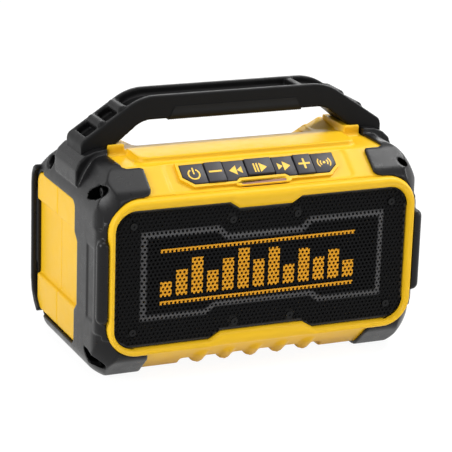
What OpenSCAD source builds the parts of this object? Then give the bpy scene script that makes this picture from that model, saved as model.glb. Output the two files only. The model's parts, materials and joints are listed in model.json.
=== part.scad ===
// Jobsite bluetooth speaker: millimetres, +Z up, front towards -Y, origin on the ground at the middle.

/* [Housing] */
// Length of the yellow housing between its end faces
body_w = 302; // [290:2:330]
// Depth of the housing from front face to rear face
body_d = 180; // [174:2:200]
// Height of the housing's flat top above the ground
body_top = 193; // [186:1:205]
// Height of the housing's underside above the ground
body_base = 4; // [3:0.5:6]
// Wall of the moulded shells
shell_t = 3; // [2.5:0.25:3.5]
// Plane in which the front and rear shells meet
split_y = 26; // [24:1:29]
// Depth of the sloping brow that carries the keys
brow_run = 26.6; // [25:0.2:28]
// Rise of the sloping brow
brow_rise = 20; // [19:0.5:22]
// Depth of the sloping chin
chin_run = 24; // [20:1:26]
// Rise of the sloping chin
chin_rise = 22; // [18:1:24]
// Raised yellow pads on the end faces
end_pad_t = 4.5; // [3:0.5:6]

/* [Deck] */
// Depth of the ledge between the brow and the deck
ledge_d = 8.4; // [6:0.2:12]
// Rear edge of the deck's flat top
deck_rear = -21; // [-26:1:-18]
// Height of the deck above the flat top
deck_h = 5; // [3:0.5:6]
// Corner radius of the deck
deck_r = 9; // [4:1:14]
// Angle at which the trough behind the handle falls to the rear
trough_fall = 14.8; // [12:0.2:16]

/* [Grille and bezel] */
// Width of the bezel's sides
bezel_side = 6.5; // [5:0.5:8]
// Width of the bezel's lower bar
bezel_low = 7; // [6:0.5:9]
// Width of the bezel's upper bar
bezel_high = 10.5; // [8:0.5:12]
// Corner radius of the bezel
bezel_r = 28; // [24:1:32]
// Height of the bezel's crest over the housing face
bezel_proud = 8; // [6:0.5:9]
// Corner radius of the grille
grille_r = 19; // [15:1:22]
// Sheet thickness of the grille
grille_t = 1.4; // [1:0.1:1.6]
// Height of the embossed middle panel
emboss_h = 1.6; // [1:0.1:2.2]

/* [Keys] */
// Length of the key row
pad_w = 151.4; // [140:0.2:160]
// Lower edge of the key row, measured up the brow
pad_low = 7.6; // [7:0.2:9]
// Depth of the shallow panel round the keys
brow_recess = 1.2; // [0.6:0.1:1.4]
// Gap between neighbouring keys
key_gap = 0.8; // [0.7:0.1:1.2]
// Height of a flat key over the brow
key_h = 2; // [1.6:0.1:2.4]
// Extra height of a raised key
key_raise = 1.2; // [0.6:0.1:1.4]
// Press of a key
key_travel = 1; // [0.8:0.1:1.2]

/* [End guards] */
// Cover of the guards over the housing's end faces
guard_end = 7; // [6:0.5:10]
// Cover of the guards over the front and rear faces
guard_proud = 4; // [3:0.5:5]
// Cover of the guards over the housing's top
guard_lift = 3; // [2:0.5:4]
// Reach of the guards along the brow and the chin
guard_wrap = 42; // [38:1:44]
// Radius of the vertical bumper pads
bumper_r = 6.5; // [5:0.5:7]
// Radius of the guards' upright corners
guard_r = 15; // [13:0.5:15.5]
// Larger radius of the bands round the guards' upper and lower corners
band_r = 21; // [18:0.5:21]
// Radius of the screw wells in the guard corners
well_r = 6.2; // [5:0.2:7]

/* [Handle] */
// Finger room between the deck and the handle bar
finger_gap = 24.5; // [20:0.5:40]
// Thickness of the handle bar
handle_t = 22; // [20:0.5:24]
// Depth of the handle bar
handle_d = 40; // [34:1:42]
// Half length of the straight bar
handle_bar = 92; // [84:1:96]
// Inset of the handle's legs from the housing's end faces
handle_inset = 4; // [3:0.5:8]
// Outer radius of the handle's bends
handle_bend_r = 48; // [40:1:52]
// Length of the ribbed grip
grip_w = 134; // [110:2:150]

/* [Loudspeakers] */
// Distance between the loudspeaker axes
driver_pitch = 140; // [126:2:154]
// Radius of the loudspeaker flange
flange_r = 43; // [39:0.5:46]
// Radius of the voice coil former
coil_r = 12.6; // [11.4:0.1:13.8]

/* [Battery] */
// Radius of a battery cell
cell_r = 9.2; // [8.8:0.1:10]
// Length of a battery cell
cell_l = 65; // [60:1:70]
// Room beside the pack in its bay
bay_side = 8.5; // [8:0.5:12]
// Floor of the battery bay
bay_floor = 34; // [30:1:38]

/* [Hidden] */
$fn = 48;
eps = 0.01;
fit = 0.3;
screw_fit = 0.05;

half_w = body_w / 2;
half_d = body_d / 2;
brow_len = norm([brow_run, brow_rise]);
brow_angle = atan2(brow_rise, brow_run);
brow_foot = body_top - brow_rise;
top_half = half_d - brow_run;
rear_share = 2.25;
rear_run = rear_share * brow_run;
rear_rise = rear_share * brow_rise;
rear_foot = body_top - rear_rise;
rear_top = half_d - rear_run;
inner_d = half_d - shell_t;

// Handle
deck_top = body_top + deck_h;
bar_low_z = deck_top + finger_gap;
handle_top = bar_low_z + handle_t;
handle_foot = half_w - handle_inset;
handle_out = [handle_foot + 3, body_top + 13];
handle_in = [handle_foot - 26, body_top + 6];
channel_wall = 6;
channel_deep = 8;
channel_end = 8;
channel_rib = 7;
channel_rib_low = 0.8;
channel_bar_rib = handle_bar - 28;
handle_heel_r = 7;
channel_ribs = [0.3, 0.63];
grip_skin = 1.5;
grip_side = 1;
grip_rise = 11;
handle_screw_r = 1.6;
handle_head_r = 3;
handle_head_h = 2.4;
handle_head_sink = 1;
handle_screw_l = 26;
handle_screw_x = [handle_bar / 3, handle_bar - 12];
handle_screw_z = bar_low_z + handle_t / 2 - 3;
handle_bolt_r = 2.5;
handle_bolt_x = [handle_foot - 22, handle_foot - 12.5];
handle_bolt_l = 16;
handle_bolt_head = [4.5, 3.5];
yellow_collar = [handle_foot - 37, handle_foot - 21, handle_d / 2 + 4, 10];

// Deck, trough and the pockets for the guards
deck_w = 2 * (handle_foot - 40);
deck_front = -top_half + ledge_d;
trough_w = deck_w - 36;
trough_rim = deck_w - 2;
trough_depth = 26;
trough_start = -2;
pocket_x = half_w - 10;
pocket_y = half_d - 28;
pocket_high = [body_top - 29, body_top - 3];
pocket_low = [body_base - 2, body_base + 31];
pocket_rear_y = half_d - 52;
pocket_rear_z = body_top - 32.5;
crown = 10;
shoulder_x = half_w - 15;
shoulder_drop = 28;
shoulder_y = handle_d / 2 + 7;
heel = [10, 12];
edge_cut = 4;

// Bezel, grille and the things stacked behind the grille
bezel_w = body_w - 2;
bezel_bottom = body_base + chin_rise + 1;
bezel_top = brow_foot - 1;
bezel_mid = (bezel_top + bezel_bottom) / 2;
grille_w = bezel_w - 2 * bezel_side;
grille_bottom = bezel_bottom + bezel_low;
grille_top = bezel_top - bezel_high;
grille_mid = (grille_top + grille_bottom) / 2;
grille_h = grille_top - grille_bottom;
cloth_t = 0.6;
cloth_margin = 2;
baffle_t = 4;
baffle_margin = 1.8;
baffle_r = 25;
notch_top = [26, 35, 6];
notch_bottom = [41, 52, 6.7];
emboss_w = grille_w - 50;
emboss_low = 25.5;
emboss_high = 21.5;
emboss_top_dip = [36, 45, 8];
emboss_bottom_dip = [47, 56, 6.5];
grille_screw_at = [
    [grille_w / 2 - 16.8, grille_h / 2 - 13.8], [31.8, grille_h / 2 - 16.2],
    [grille_w / 2 - 17.3, -grille_h / 2 + 15], [27.5, -grille_h / 2 + 14.6]
];
grille_screw_r = 1.5;
grille_head_r = 3.3;
grille_head_h = 1.2;
grille_screw_l = 7;
grille_socket_r = 1.2;
grille_front = -half_d - cloth_t - grille_t;

// Keys: the edges of the key columns out from the middle, as shares of the row's half length
key_share = [0.1757, 0.4597, 0.6935, 1];
key_edge = [for (k = key_share) k * pad_w / 2];
pad_high = brow_len - 3.3;
pad_chamfer = [9.7, 8.5];
pad_notch = [22.6, 26, 3];
panel_rim = 2.6;
panel_t = 1.2;
brow_panel_w = pad_w + 29;
brow_panel_low = 1;
brow_panel_r = 6;
key_root = shell_t + 0.2;
play_lift = 4.4;
switch_gap = 0.2;
switch_top = -key_root - key_travel - switch_gap;
switch_h = 3.2;
switch_body_h = 2.4;
switch_w = 6;
plunger_r = 1.6;
board_t = 1.6;
key_board_w = pad_w + 16.6;
key_board_low = pad_low - 3.6;
key_board_high = pad_high + 1;
post_r = 3;
post_x = pad_w / 2 + 4.3;
post_y = [pad_low + 0.4, pad_high - 3.5];
bar_half = pad_notch[0] - 0.6;
bar_low = pad_low - 4.8;
bar_high = pad_low - 1;
bar_proud = 0.9;

// Guards and their screws
guard_half = half_w + guard_end;
guard_d = half_d + guard_proud;
guard_top = body_top + guard_lift;
guard_inner = half_w - guard_wrap;
guard_foot_y = half_d - chin_run;
guard_chin_z = (guard_d - guard_foot_y) * chin_rise / chin_run;
guard_section_r = [8, 20, 20, 25];
guard_base_r = 21;
guard_shoulder_in = 11;
guard_shoulder_mid = [8, 15];
guard_shoulder_low = 33;
guard_shoulder_r = [40, 30, 16];
guard_tip_r = 8;
band_x = half_w - 9;
band_y = [half_d - 36, half_d - 1.5];
band_z = [[body_base + 14, body_base + 44], [body_top - 48, body_top - 3]];
strip_y = [half_d - 30, half_d - 13];
strip_z = [body_base + 53, body_top - 67];
strip_sink = 1;
guard_top_inner = half_w - 23;
window_y = [-split_y, half_d - 6];
window_z = [body_base + 14, rear_foot + 7];
window_r = 8;
window_rear_r = 13;
window_step = 7;
pad_band = [body_base + 49, body_top - 67];
pad_clear = 1;
collar_in = half_w - 24;
collar_h = 8;
collar_edge = [2.5, 5.5];
collar_side = [1, 14];
collar_drop = 24;
collar_cover = 1.5;
bumper_z = [body_base + 55, body_top - 55.5];
bumper_x = half_w + guard_end - 4.5;
well_y = half_d - 20;
well_z = [body_top - 18.3, body_base + 15];
well_rear_y = half_d - 42;
well_rear_z = body_top - 22;
wells = [[-well_y, well_z[0]], [-well_y, well_z[1]], [well_rear_y, well_rear_z], [well_y, well_z[1]]];
well_floor = half_w - 5;
guard_screw_r = 2;
guard_head_r = 4;
guard_head_h = 3;
guard_socket_r = 1.5;
guard_screw_l = 16;

// Loudspeaker sections, with z = 0 on the baffle and z towards the front
driver_z = grille_mid;
flange_t = 1.5;
basket_r = flange_r - 8.4;
basket_wall = 1;
basket_step = -4;
surround_in = flange_r - 16;
surround_out = flange_r - 5.5;
surround_t = 0.6;
surround_lip = 2.5;
roll_mid = flange_r - 12.8;
roll_r = 3;
spider_z = -15.2;
spider_t = 0.6;
spider_r = flange_r - 17.5;
spider_seat = 1.5;
basket_floor = -24;
plate_top = -25.5;
plate_t = 4;
magnet_r = flange_r - 11;
magnet_t = 10;
yoke_t = 4;
gap_out = 1.4;
basket_foot_r = coil_r + gap_out + 8;
pole_r = coil_r - 1.4;
former_t = 0.6;
former_drop = 3.5;
cone_neck = -12;
cone_wall = 0.9;
cone_lap = 1.3;
cap_rise = 3;
basket_window = [12, 12, 6.5];
driver_screw_ring = flange_r - 2.4;
driver_screw_r = 1.4;
driver_head_r = 2.4;
driver_head_h = 1.3;
driver_screw_l = 4.4;

// Cradle, terminals and battery pack
cradle_t = 3;
rail_out = 34;
rail_web = 3;
rail_lip = 5;
rail_reach = 7;
rail_lip_t = 3;
rail_fit = 0.4;
rail_case_t = 9.6;
pack_wall = 2.2;
pack_inset = 2.2;
cell_count = 5;
cell_pitch = 2 * cell_r + 1;
cell_play = 0.1;
pack_w = cell_l + 2 * pack_wall + 5.6;
pack_l = cell_count * cell_pitch + 2 * pack_wall + 4.6;
pack_z = bay_floor + 10;
pack_top = pack_z + pack_l;
pack_rear = half_d - pack_inset;
case_split = pack_rear - pack_wall - 2 * cell_r - 3.2;
pack_y = case_split - rail_case_t;
pack_face = pack_y - rail_fit - rail_reach;
spine_y = pack_face + rail_fit;
bay_front = pack_face - cradle_t;
bay_w = pack_w + 2 * bay_side;
bay_open = 40;
rail_top = pack_top - 10;
stem_half = rail_out - rail_web - rail_lip - rail_fit;
head_half = rail_out - rail_web - rail_fit;
head_t = rail_reach - rail_lip_t - 2 * rail_fit;
block_gap = 0.6;
block_d = 13;
blade_x = [-15, -5, 5, 15];
blade_t = 1;
blade_y = [2.4, 9];
blade_l = 18;
slot_w = 3;
slot_room = 0.6;
contact_t = 0.6;
contact_lift = 4;
block_w = blade_x[3] - blade_x[0] + 12;
latch_w = 24;
latch_l = 12;
latch_lip = 3;
latch_t = 8.5;
latch_y = spine_y + 1;
latch_room = 4.5;
spring_r = 2.6;
spring_wire = 0.4;
spring_play = 0.1;
spring_turns = 4;

// Circuit board behind the loudspeakers
main_board_w = bay_w + 2;
main_board_z = [bay_floor + 16, bay_floor + 116];
standoff_l = 8;
standoff_r = 3.2;
standoff_x = main_board_w / 2 - 6;
standoff_z = [main_board_z[0] + 7, main_board_z[1] - 7];
board_y = bay_front - shell_t - standoff_l;
board_screw_r = 1.4;
board_screw_bite = 6;
board_head_r = 2.8;
board_head_h = 2;
sink_w = main_board_w - 44;
sink_z = [main_board_z[1] - 46, main_board_z[1] - 14];
sink_base = 3;
sink_fin = [1.6, 12, 6];
cap_r = 6;
cap_l = 16;
cap_x = [-standoff_x + 11, -standoff_x + 27, standoff_x - 27, standoff_x - 11];
cap_z = main_board_z[0] + 22;

// Ports
port_x = [half_w - 57, half_w - 17];
port_z = [84, 108];
port_deep = 14;
port_floor = half_d - port_deep;
port_wall = port_floor - shell_t;
socket_z = (port_z[0] + port_z[1]) / 2;
socket_lift = 0.5;
socket_fit = 0.1;
dc_x = port_x[0] + 11;
dc_nose_r = 4.6;
dc_body = [13, 13, 12];
dc_bore = [2.75, 11];
dc_pin = [1, 10];
aux_x = port_x[0] + 28;
aux_nose_r = 3.6;
aux_body = [11, 13, 10];
aux_bore = [1.8, 12];
cover_t = 2.6;
cover_over = 3;
cover_gap = 0.4;
hinge_r = 1.6;
hinge_pin_r = 0.9;
hinge_fit = 0.06;
lug_w = 4;
hinge_y = half_d + cover_gap + hinge_r;
hinge_z = port_z[0] - hinge_r - cover_gap;

// Housing screws
boss_x = half_w - 7.8;
boss_r = 5;
boss_z = [66, 134];
boss_front = -8;
housing_screw_r = 1.8;
housing_screw_room = 0.2;
housing_head_r = 3.6;
housing_head_h = 3;
housing_socket_r = 1.4;
housing_recess = 7;
housing_bite = 6;

// Ribs along the chin
rib_r = 8.5;
rib_pitch = 26.7;
rib_sink = 5.5;
rib_count = 5;
rib_start = 0.42;
chin_bay = [rib_pitch * (rib_count + 0.3) / 2, half_d - 40, 7.5];

yellow = [0.98, 0.74, 0.1];
guard_black = [0.16, 0.16, 0.17];
handle_black = [0.09, 0.09, 0.1];
metal_black = [0.05, 0.05, 0.055];
steel = [0.7, 0.71, 0.73];

// Frames of reference

// Draws a (Y, Z) outline and extrudes it along X
module along_x(x0, x1) {
    translate([x0, 0, 0]) rotate([90, 0, 90]) linear_extrude(x1 - x0) children();
}

// Draws an (X, Z) outline and extrudes it along Y
module along_y(y0, y1) {
    translate([0, y1, 0]) rotate([90, 0, 0]) linear_extrude(y1 - y0) children();
}

// Frame of the brow: x along the speaker, y up the slope, z out of it
module on_brow() {
    translate([0, -half_d, brow_foot]) rotate([brow_angle, 0, 0]) children();
}

// Frame of a loudspeaker: z towards the front
module at_driver(side) {
    translate([side * driver_pitch / 2, -inner_d, driver_z]) rotate([90, 0, 0]) children();
}

module both_ends() {
    children();
    mirror([1, 0, 0]) children();
}

module both_faces() {
    children();
    mirror([0, 1, 0]) children();
}

module box(x, y, z) {
    translate([x[0], y[0], z[0]]) cube([x[1] - x[0], y[1] - y[0], z[1] - z[0]]);
}

module round_rect(w, h, r) {
    square([w - 2 * r, h], center = true);
    square([w, h - 2 * r], center = true);
    for (x = [-1, 1], y = [-1, 1]) translate([x * (w / 2 - r), y * (h / 2 - r)]) circle(r);
}

// A rod along X that starts at x and runs outwards for a positive length
module rod_x(x, y, z, r, l) {
    translate([x, y, z]) rotate([0, 90, 0]) cylinder(h = l, r = r);
}

// A rod along Y from y towards the rear
module rod_y(x, y, z, r, l) {
    translate([x, y + l, z]) rotate([90, 0, 0]) cylinder(h = l, r = r);
}

// Shared outlines

// Where a sloping corner, offset inwards by g, meets its upright and its level neighbour
function slope_low(run, rise, g) = g * (rise - norm([run, rise])) / run;
function slope_high(run, rise, g) = g * (run - norm([run, rise])) / rise;

// Points of a bend of radius r that rounds the corner b of the path a, b, c
function bend(a, b, c, r) =
    let (
        u = (a - b) / norm(a - b), v = (c - b) / norm(c - b),
        half = acos(u * v) / 2,
        mid = b + (u + v) / norm(u + v) * r / sin(half),
        start = b + u * r / tan(half) - mid,
        end = b + v * r / tan(half) - mid,
        from = atan2(start[1], start[0]),
        turn = atan2(start[0] * end[1] - start[1] * end[0], start * end),
        steps = 8
    )
    [for (i = [0 : steps]) mid + r * [cos(from + turn * i / steps), sin(from + turn * i / steps)]];

// An outline whose corners are rounded by their own radii
function rounded(points, r) = [
    for (i = [0 : len(points) - 1])
        each r[i] == 0 ? [points[i]] : bend(
            points[(i + len(points) - 1) % len(points)], points[i], points[(i + 1) % len(points)], r[i])
];

// Half of the housing's side section under a slope of this run and rise, inset by g, from top to base
function half_section(run, rise, g) = [
    [half_d - run + slope_high(run, rise, g), body_top - g],
    [half_d - g, body_top - rise + slope_low(run, rise, g)],
    [half_d - g, body_base + chin_rise - slope_low(chin_run, chin_rise, g)],
    [half_d - chin_run + slope_high(chin_run, chin_rise, g), body_base + g]
];

function mirrored(points) = [for (i = [len(points) - 1 : -1 : 0]) [-points[i][0], points[i][1]]];

module housing_section(g) {
    polygon(concat(half_section(rear_run, rear_rise, g), mirrored(half_section(brow_run, brow_rise, g))));
}

// The fall behind the handle, open to the rear, with sloping ends
module trough(g) {
    translate([0, trough_start, body_top]) rotate([-trough_fall, 0, 0])
        along_y(-g, body_d)
            polygon([
                [-trough_w / 2 - g, -g], [trough_w / 2 + g, -g],
                [trough_rim / 2 + g, trough_depth], [-trough_rim / 2 - g, trough_depth]
            ]);
}

module bay(g) {
    box([-bay_w / 2 - g, bay_w / 2 + g], [bay_front - g, half_d + bay_open],
        [bay_floor - g, body_top + bay_open]);
}

// Room for the thick corners of the guards
module corner_pockets(g) {
    reach = [pocket_x - g, half_w + eps];
    both_ends() {
        for (z = [pocket_high, pocket_low])
            box(reach, [-half_d - eps, -pocket_y + g], [z[0] - g, z[1] + g]);
        box(reach, [pocket_y - g, half_d + eps], [pocket_low[0] - g, pocket_low[1] + g]);
        box(reach, [pocket_rear_y - g, half_d + eps], [pocket_rear_z - g, pocket_high[1] + g]);
    }
}

// The housing's upper ends fall away beside the handle and are cut off under its collars
module shoulders(g) {
    cut = crown + sqrt(2) * g;
    both_ends()
        along_y(-half_d - eps, half_d + eps)
            polygon([
                [half_w - cut, body_top + eps], [half_w + eps, body_top + eps],
                [half_w + eps, body_top - cut], [half_w, body_top - cut]
            ]);
    both_ends() both_faces()
        along_y(shoulder_y - g, half_d + eps)
            polygon([
                [shoulder_x - g, body_top + eps], [half_w + eps, body_top + eps],
                [half_w + eps, body_top - shoulder_drop - g], [half_w, body_top - shoulder_drop - g]
            ]);
}

// The housing's lower ends rise towards the end faces
module heels(g) {
    both_ends()
        along_y(-half_d - eps, half_d + eps)
            polygon([
                [half_w - heel[0] - g, body_base - eps], [half_w + eps, body_base + heel[1] + g],
                [half_w + eps, body_base - eps]
            ]);
}

// The housing's upright edges are cut off under the guards
module edges(g) {
    cut = edge_cut + sqrt(2) * g;
    both_ends() both_faces()
        linear_extrude(body_top + eps)
            polygon([[half_w - cut, half_d], [half_w, half_d - cut], [half_w, half_d]]);
}

// The raised underside between the ribs of the chin
module chin_hollow(g) {
    box([-chin_bay[0] - g, chin_bay[0] + g], [-half_d - eps, -chin_bay[1] + g],
        [body_base - eps, body_base + chin_bay[2] + g]);
}

module port_recess(g) {
    box([port_x[0] - g, port_x[1] + g], [port_floor - g, half_d + eps], [port_z[0] - g, port_z[1] + g]);
}

// Solid inside the housing's surface, inset by g
module housing_mass(g) {
    difference() {
        along_x(-half_w + g, half_w - g) housing_section(g);
        trough(g);
        bay(g);
        corner_pockets(g);
        shoulders(g);
        heels(g);
        edges(g);
        chin_hollow(g);
        port_recess(g);
    }
}

module deck() {
    plan_d = split_y + 2 * deck_r - deck_front;
    difference() {
        intersection() {
            along_x(-deck_w / 2, deck_w / 2)
                polygon([
                    [deck_front, body_top - shell_t], [deck_front, body_top + deck_h],
                    [deck_rear, body_top + deck_h], [split_y, body_top - shell_t]
                ]);
            translate([0, deck_front + plan_d / 2, 0])
                linear_extrude(handle_top) round_rect(deck_w, plan_d, deck_r);
        }
        trough(0);
    }
}

// Yellow sockets round the inner sides of the handle's feet
module handle_collars() {
    both_ends()
        difference() {
            box([yellow_collar[0], yellow_collar[1]], [-yellow_collar[2], yellow_collar[2]],
                [body_top - shell_t, body_top + yellow_collar[3]]);
            handle_space();
        }
}

// The window of the guards in (Y, Z), inset by g
module window_outline(g) {
    y = [window_y[0] + g, window_y[1] - g];
    z = [window_z[0] + g, window_z[1] - g];
    polygon(rounded([
        [y[1], z[0]], [y[1], z[1]], [y[0], z[1]],
        [y[0], pad_band[1]], [y[0] - window_step, pad_band[1] - window_step],
        [y[0] - window_step, pad_band[0] + window_step], [y[0], pad_band[0]], [y[0], z[0]]
    ], [window_r - g, window_rear_r - g, window_r - g, 0, 0, 0, 0, window_r - g]));
}

// Raised pads on the end faces, above and below the recessed middle
module end_pads(g) {
    difference() {
        both_ends()
            along_x(half_w - eps, half_w + end_pad_t) difference() {
                window_outline(g);
                translate([-half_d, pad_band[0]]) square([body_d, pad_band[1] - pad_band[0]]);
            }
        corner_pockets(0);
    }
}

module grille_outline(g) {
    difference() {
        translate([0, grille_mid]) round_rect(grille_w + 2 * g, grille_h + 2 * g, grille_r + g);
        polygon([
            [-notch_top[1], grille_top + 1], [-notch_top[1], grille_top + g],
            [-notch_top[0], grille_top - notch_top[2] + g], [notch_top[0], grille_top - notch_top[2] + g],
            [notch_top[1], grille_top + g], [notch_top[1], grille_top + 1]
        ]);
        polygon([
            [-notch_bottom[1], grille_bottom - 1], [-notch_bottom[1], grille_bottom - g],
            [-notch_bottom[0], grille_bottom + notch_bottom[2] - g],
            [notch_bottom[0], grille_bottom + notch_bottom[2] - g],
            [notch_bottom[1], grille_bottom - g], [notch_bottom[1], grille_bottom - 1]
        ]);
    }
}

module bezel_outline(g) {
    translate([0, bezel_mid]) round_rect(bezel_w + 2 * g, bezel_top - bezel_bottom + 2 * g, bezel_r + g);
}

// Half outline of the embossed panel, inset by g, from the top middle round to the bottom middle
function emboss_half(g) = [
    [emboss_top_dip[0], grille_top - emboss_high - emboss_top_dip[2] - g],
    [emboss_top_dip[1], grille_top - emboss_high - g],
    [emboss_w / 2 - g, grille_top - emboss_high - g],
    [emboss_w / 2 - g, grille_bottom + emboss_low + g],
    [emboss_bottom_dip[1], grille_bottom + emboss_low + g],
    [emboss_bottom_dip[0], grille_bottom + emboss_low + emboss_bottom_dip[2] + g]
];

module emboss_outline(g) {
    polygon(concat(emboss_half(g), mirrored(emboss_half(g))));
}

// Outline of the key row on the brow, grown by g
function pad_half(g) = [
    [pad_w / 2 + g, pad_high + g],
    [pad_w / 2 + g, pad_low + pad_chamfer[1] - g / 2],
    [pad_w / 2 - pad_chamfer[0] + g / 2, pad_low - g],
    [pad_notch[1] - g / 2, pad_low - g],
    [pad_notch[0] - g / 2, pad_low + pad_notch[2] - g]
];

module pad_outline(g) {
    polygon(concat(pad_half(g), mirrored(pad_half(g))));
}

// Housings

module front_housing() {
    front_face = -half_d;
    color(yellow)
    difference() {
        union() {
            difference() {
                union() {
                    housing_mass(0);
                    deck();
                    handle_collars();
                    end_pads(pad_clear);
                }
                housing_mass(shell_t);
                box([-body_w, body_w], [split_y, body_d], [-eps, handle_top]);
            }
            along_y(front_face - bezel_proud, front_face) difference() {
                bezel_outline(0);
                grille_outline(fit);
            }
            for (side = [-1, 1], z = boss_z)
                rod_y(side * boss_x, boss_front, z, boss_r, split_y - boss_front);
            on_brow() for (side = [-1, 1], y = post_y)
                translate([side * post_x, y, switch_top - switch_h])
                    cylinder(h = -switch_top + switch_h - 1, r = post_r);
            skirt_ribs();
        }
        along_y(front_face - eps, -inner_d + eps) grille_outline(fit);
        on_brow() translate([0, brow_panel_low + brow_len / 2, -brow_recess])
            linear_extrude(brow_len) round_rect(brow_panel_w, brow_len, brow_panel_r);
        on_brow() translate([0, 0, -shell_t - 1]) linear_extrude(shell_t + 2) pad_outline(0);
        on_brow() translate([0, 0, -shell_t - 1])
            linear_extrude(shell_t + 2) translate([-bar_half - fit, bar_low - fit])
                square([2 * (bar_half + fit), bar_high - bar_low + 2 * fit]);
        for (side = [-1, 1], z = boss_z) rod_y(side * boss_x, boss_front + 2, z, housing_screw_r, body_d);
        guard_screw_holes();
        handle_bolt_holes();
    }
}

// Rounded ribs along the chin
module skirt_ribs() {
    chin_angle = atan2(chin_rise, chin_run);
    chin_len = norm([chin_run, chin_rise]);
    for (i = [0 : rib_count - 1])
        intersection() {
            translate([(i - (rib_count - 1) / 2) * rib_pitch, -half_d, body_base + chin_rise])
                rotate([-chin_angle, 0, 0]) translate([0, rib_start * chin_len, rib_sink]) {
                    rotate([-90, 0, 0]) cylinder(h = (1 - rib_start) * chin_len - 4, r = rib_r);
                    sphere(rib_r);
                }
            difference() {
                box([-half_w, half_w], [-half_d, 0], [body_base, body_base + chin_rise + 4]);
                housing_mass(shell_t - 1);
            }
        }
}

module rear_housing() {
    color(yellow)
    difference() {
        union() {
            difference() {
                union() {
                    housing_mass(0);
                    end_pads(pad_clear);
                }
                housing_mass(shell_t);
                box([-body_w, body_w], [-body_d, split_y], [-eps, handle_top]);
            }
            for (side = [-1, 1], z = boss_z)
                rod_y(side * boss_x, split_y, z, boss_r, inner_d - split_y + 1);
            for (x = [-standoff_x, standoff_x], z = standoff_z)
                rod_y(x, bay_front - shell_t - standoff_l, z, standoff_r, standoff_l + 1);
            for (x = [port_x[0] - cover_over + cover_gap, port_x[1] + cover_over - lug_w - cover_gap])
                port_lug(x);
        }
        for (side = [-1, 1], z = boss_z) {
            rod_y(side * boss_x, 0, z, housing_screw_r + housing_screw_room, body_d);
            rod_y(side * boss_x, half_d - housing_recess, z, housing_head_r + fit, body_d);
        }
        for (x = [-standoff_x, standoff_x], z = standoff_z)
            rod_y(x, bay_front - shell_t - standoff_l - eps, z, board_screw_r, standoff_l - 1);
        guard_screw_holes();
        rod_y(dc_x, port_wall - eps, socket_z, dc_nose_r + socket_fit, shell_t + 1);
        rod_y(aux_x, port_wall - eps, socket_z, aux_nose_r + socket_fit, shell_t + 1);
    }
}

// Ear that holds one end of the port cover's hinge
module port_lug(x) {
    difference() {
        union() {
            box([x, x + lug_w], [half_d - 1, hinge_y], [hinge_z - hinge_r, hinge_z + hinge_r]);
            rod_x(x, hinge_y, hinge_z, hinge_r, lug_w);
        }
        rod_x(x - eps, hinge_y, hinge_z, hinge_pin_r + hinge_fit, lug_w + 2 * eps);
    }
}

module guard_screw_holes() {
    for (side = [-1, 1], w = wells)
        rod_x(side > 0 ? pocket_x - shell_t - 1 : -pocket_x - 1, w[0], w[1], guard_screw_r, shell_t + 2);
}

module handle_bolt_holes() {
    for (side = [-1, 1], x = handle_bolt_x)
        translate([side * x, 0, body_top - shell_t - 1]) cylinder(h = shell_t + 2, r = handle_bolt_r);
}

// End guards

// Room taken by the handle's feet
module handle_space() {
    along_y(-handle_d / 2 - eps, handle_d / 2 + eps) handle_outline();
}

// Half of the guard's side section over a slope of this run and rise, from its base to its top
function guard_section(run, rise) = [
    [guard_foot_y, 0], [guard_d, guard_chin_z], [guard_d, body_top - rise + 1], [half_d - run + 1, guard_top]
];

// Plan of the guard at the +X end, with upright corners of radius r
module guard_plan(r) {
    polygon(rounded([
        [guard_inner, -guard_d], [guard_half, -guard_d], [guard_half, guard_d], [guard_inner, guard_d]
    ], [guard_tip_r, r, r, guard_tip_r]));
}

// Rounded block of the guard at the +X end
module guard_core() {
    intersection() {
        along_x(guard_inner, guard_half)
            polygon(rounded(
                concat(guard_section(rear_run, rear_rise), mirrored(guard_section(brow_run, brow_rise))),
                concat(guard_section_r, [for (i = [3 : -1 : 0]) guard_section_r[i]])));
        along_y(-body_d, body_d)
            polygon(rounded([
                [0, 0], [guard_half, 0], [guard_half, guard_top - guard_shoulder_low],
                [guard_half - guard_shoulder_mid[0], guard_top - guard_shoulder_mid[1]],
                [half_w - guard_shoulder_in, guard_top], [0, guard_top]
            ], concat([0, guard_base_r], guard_shoulder_r, [0])));
        linear_extrude(body_d * 2) guard_plan(guard_r);
    }
}

// Bands of larger radius round the front corners, through the screw wells, and the strips between them
module guard_bands() {
    mirror([0, 1, 0]) {
        for (z = band_z)
            difference() {
                box([band_x, guard_half + eps], band_y, z);
                linear_extrude(body_d * 2) guard_plan(band_r);
            }
        box([guard_half - strip_sink, guard_half + eps], strip_y, strip_z);
    }
}

// The guard's outer form with its collar and bumpers
module guard_block() {
    guard_core();
    along_y(-shoulder_y - collar_cover, shoulder_y + collar_cover)
        polygon([
            [collar_in, body_top], [collar_in, body_top + collar_h],
            [guard_half - collar_edge[0], body_top - collar_edge[1]],
            [guard_half - collar_side[0], body_top - collar_side[1]],
            [guard_half, body_top - collar_drop], [collar_in, body_top - collar_drop]
        ]);
    both_faces() bumper();
}

// Upright bumper pad at a front corner
module bumper() {
    for (z = [bumper_z[0] + bumper_r, bumper_z[1] - bumper_r])
        translate([bumper_x, half_d, z]) sphere(bumper_r);
    translate([bumper_x, half_d, bumper_z[0] + bumper_r])
        cylinder(h = bumper_z[1] - bumper_z[0] - 2 * bumper_r, r = bumper_r);
}

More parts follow.
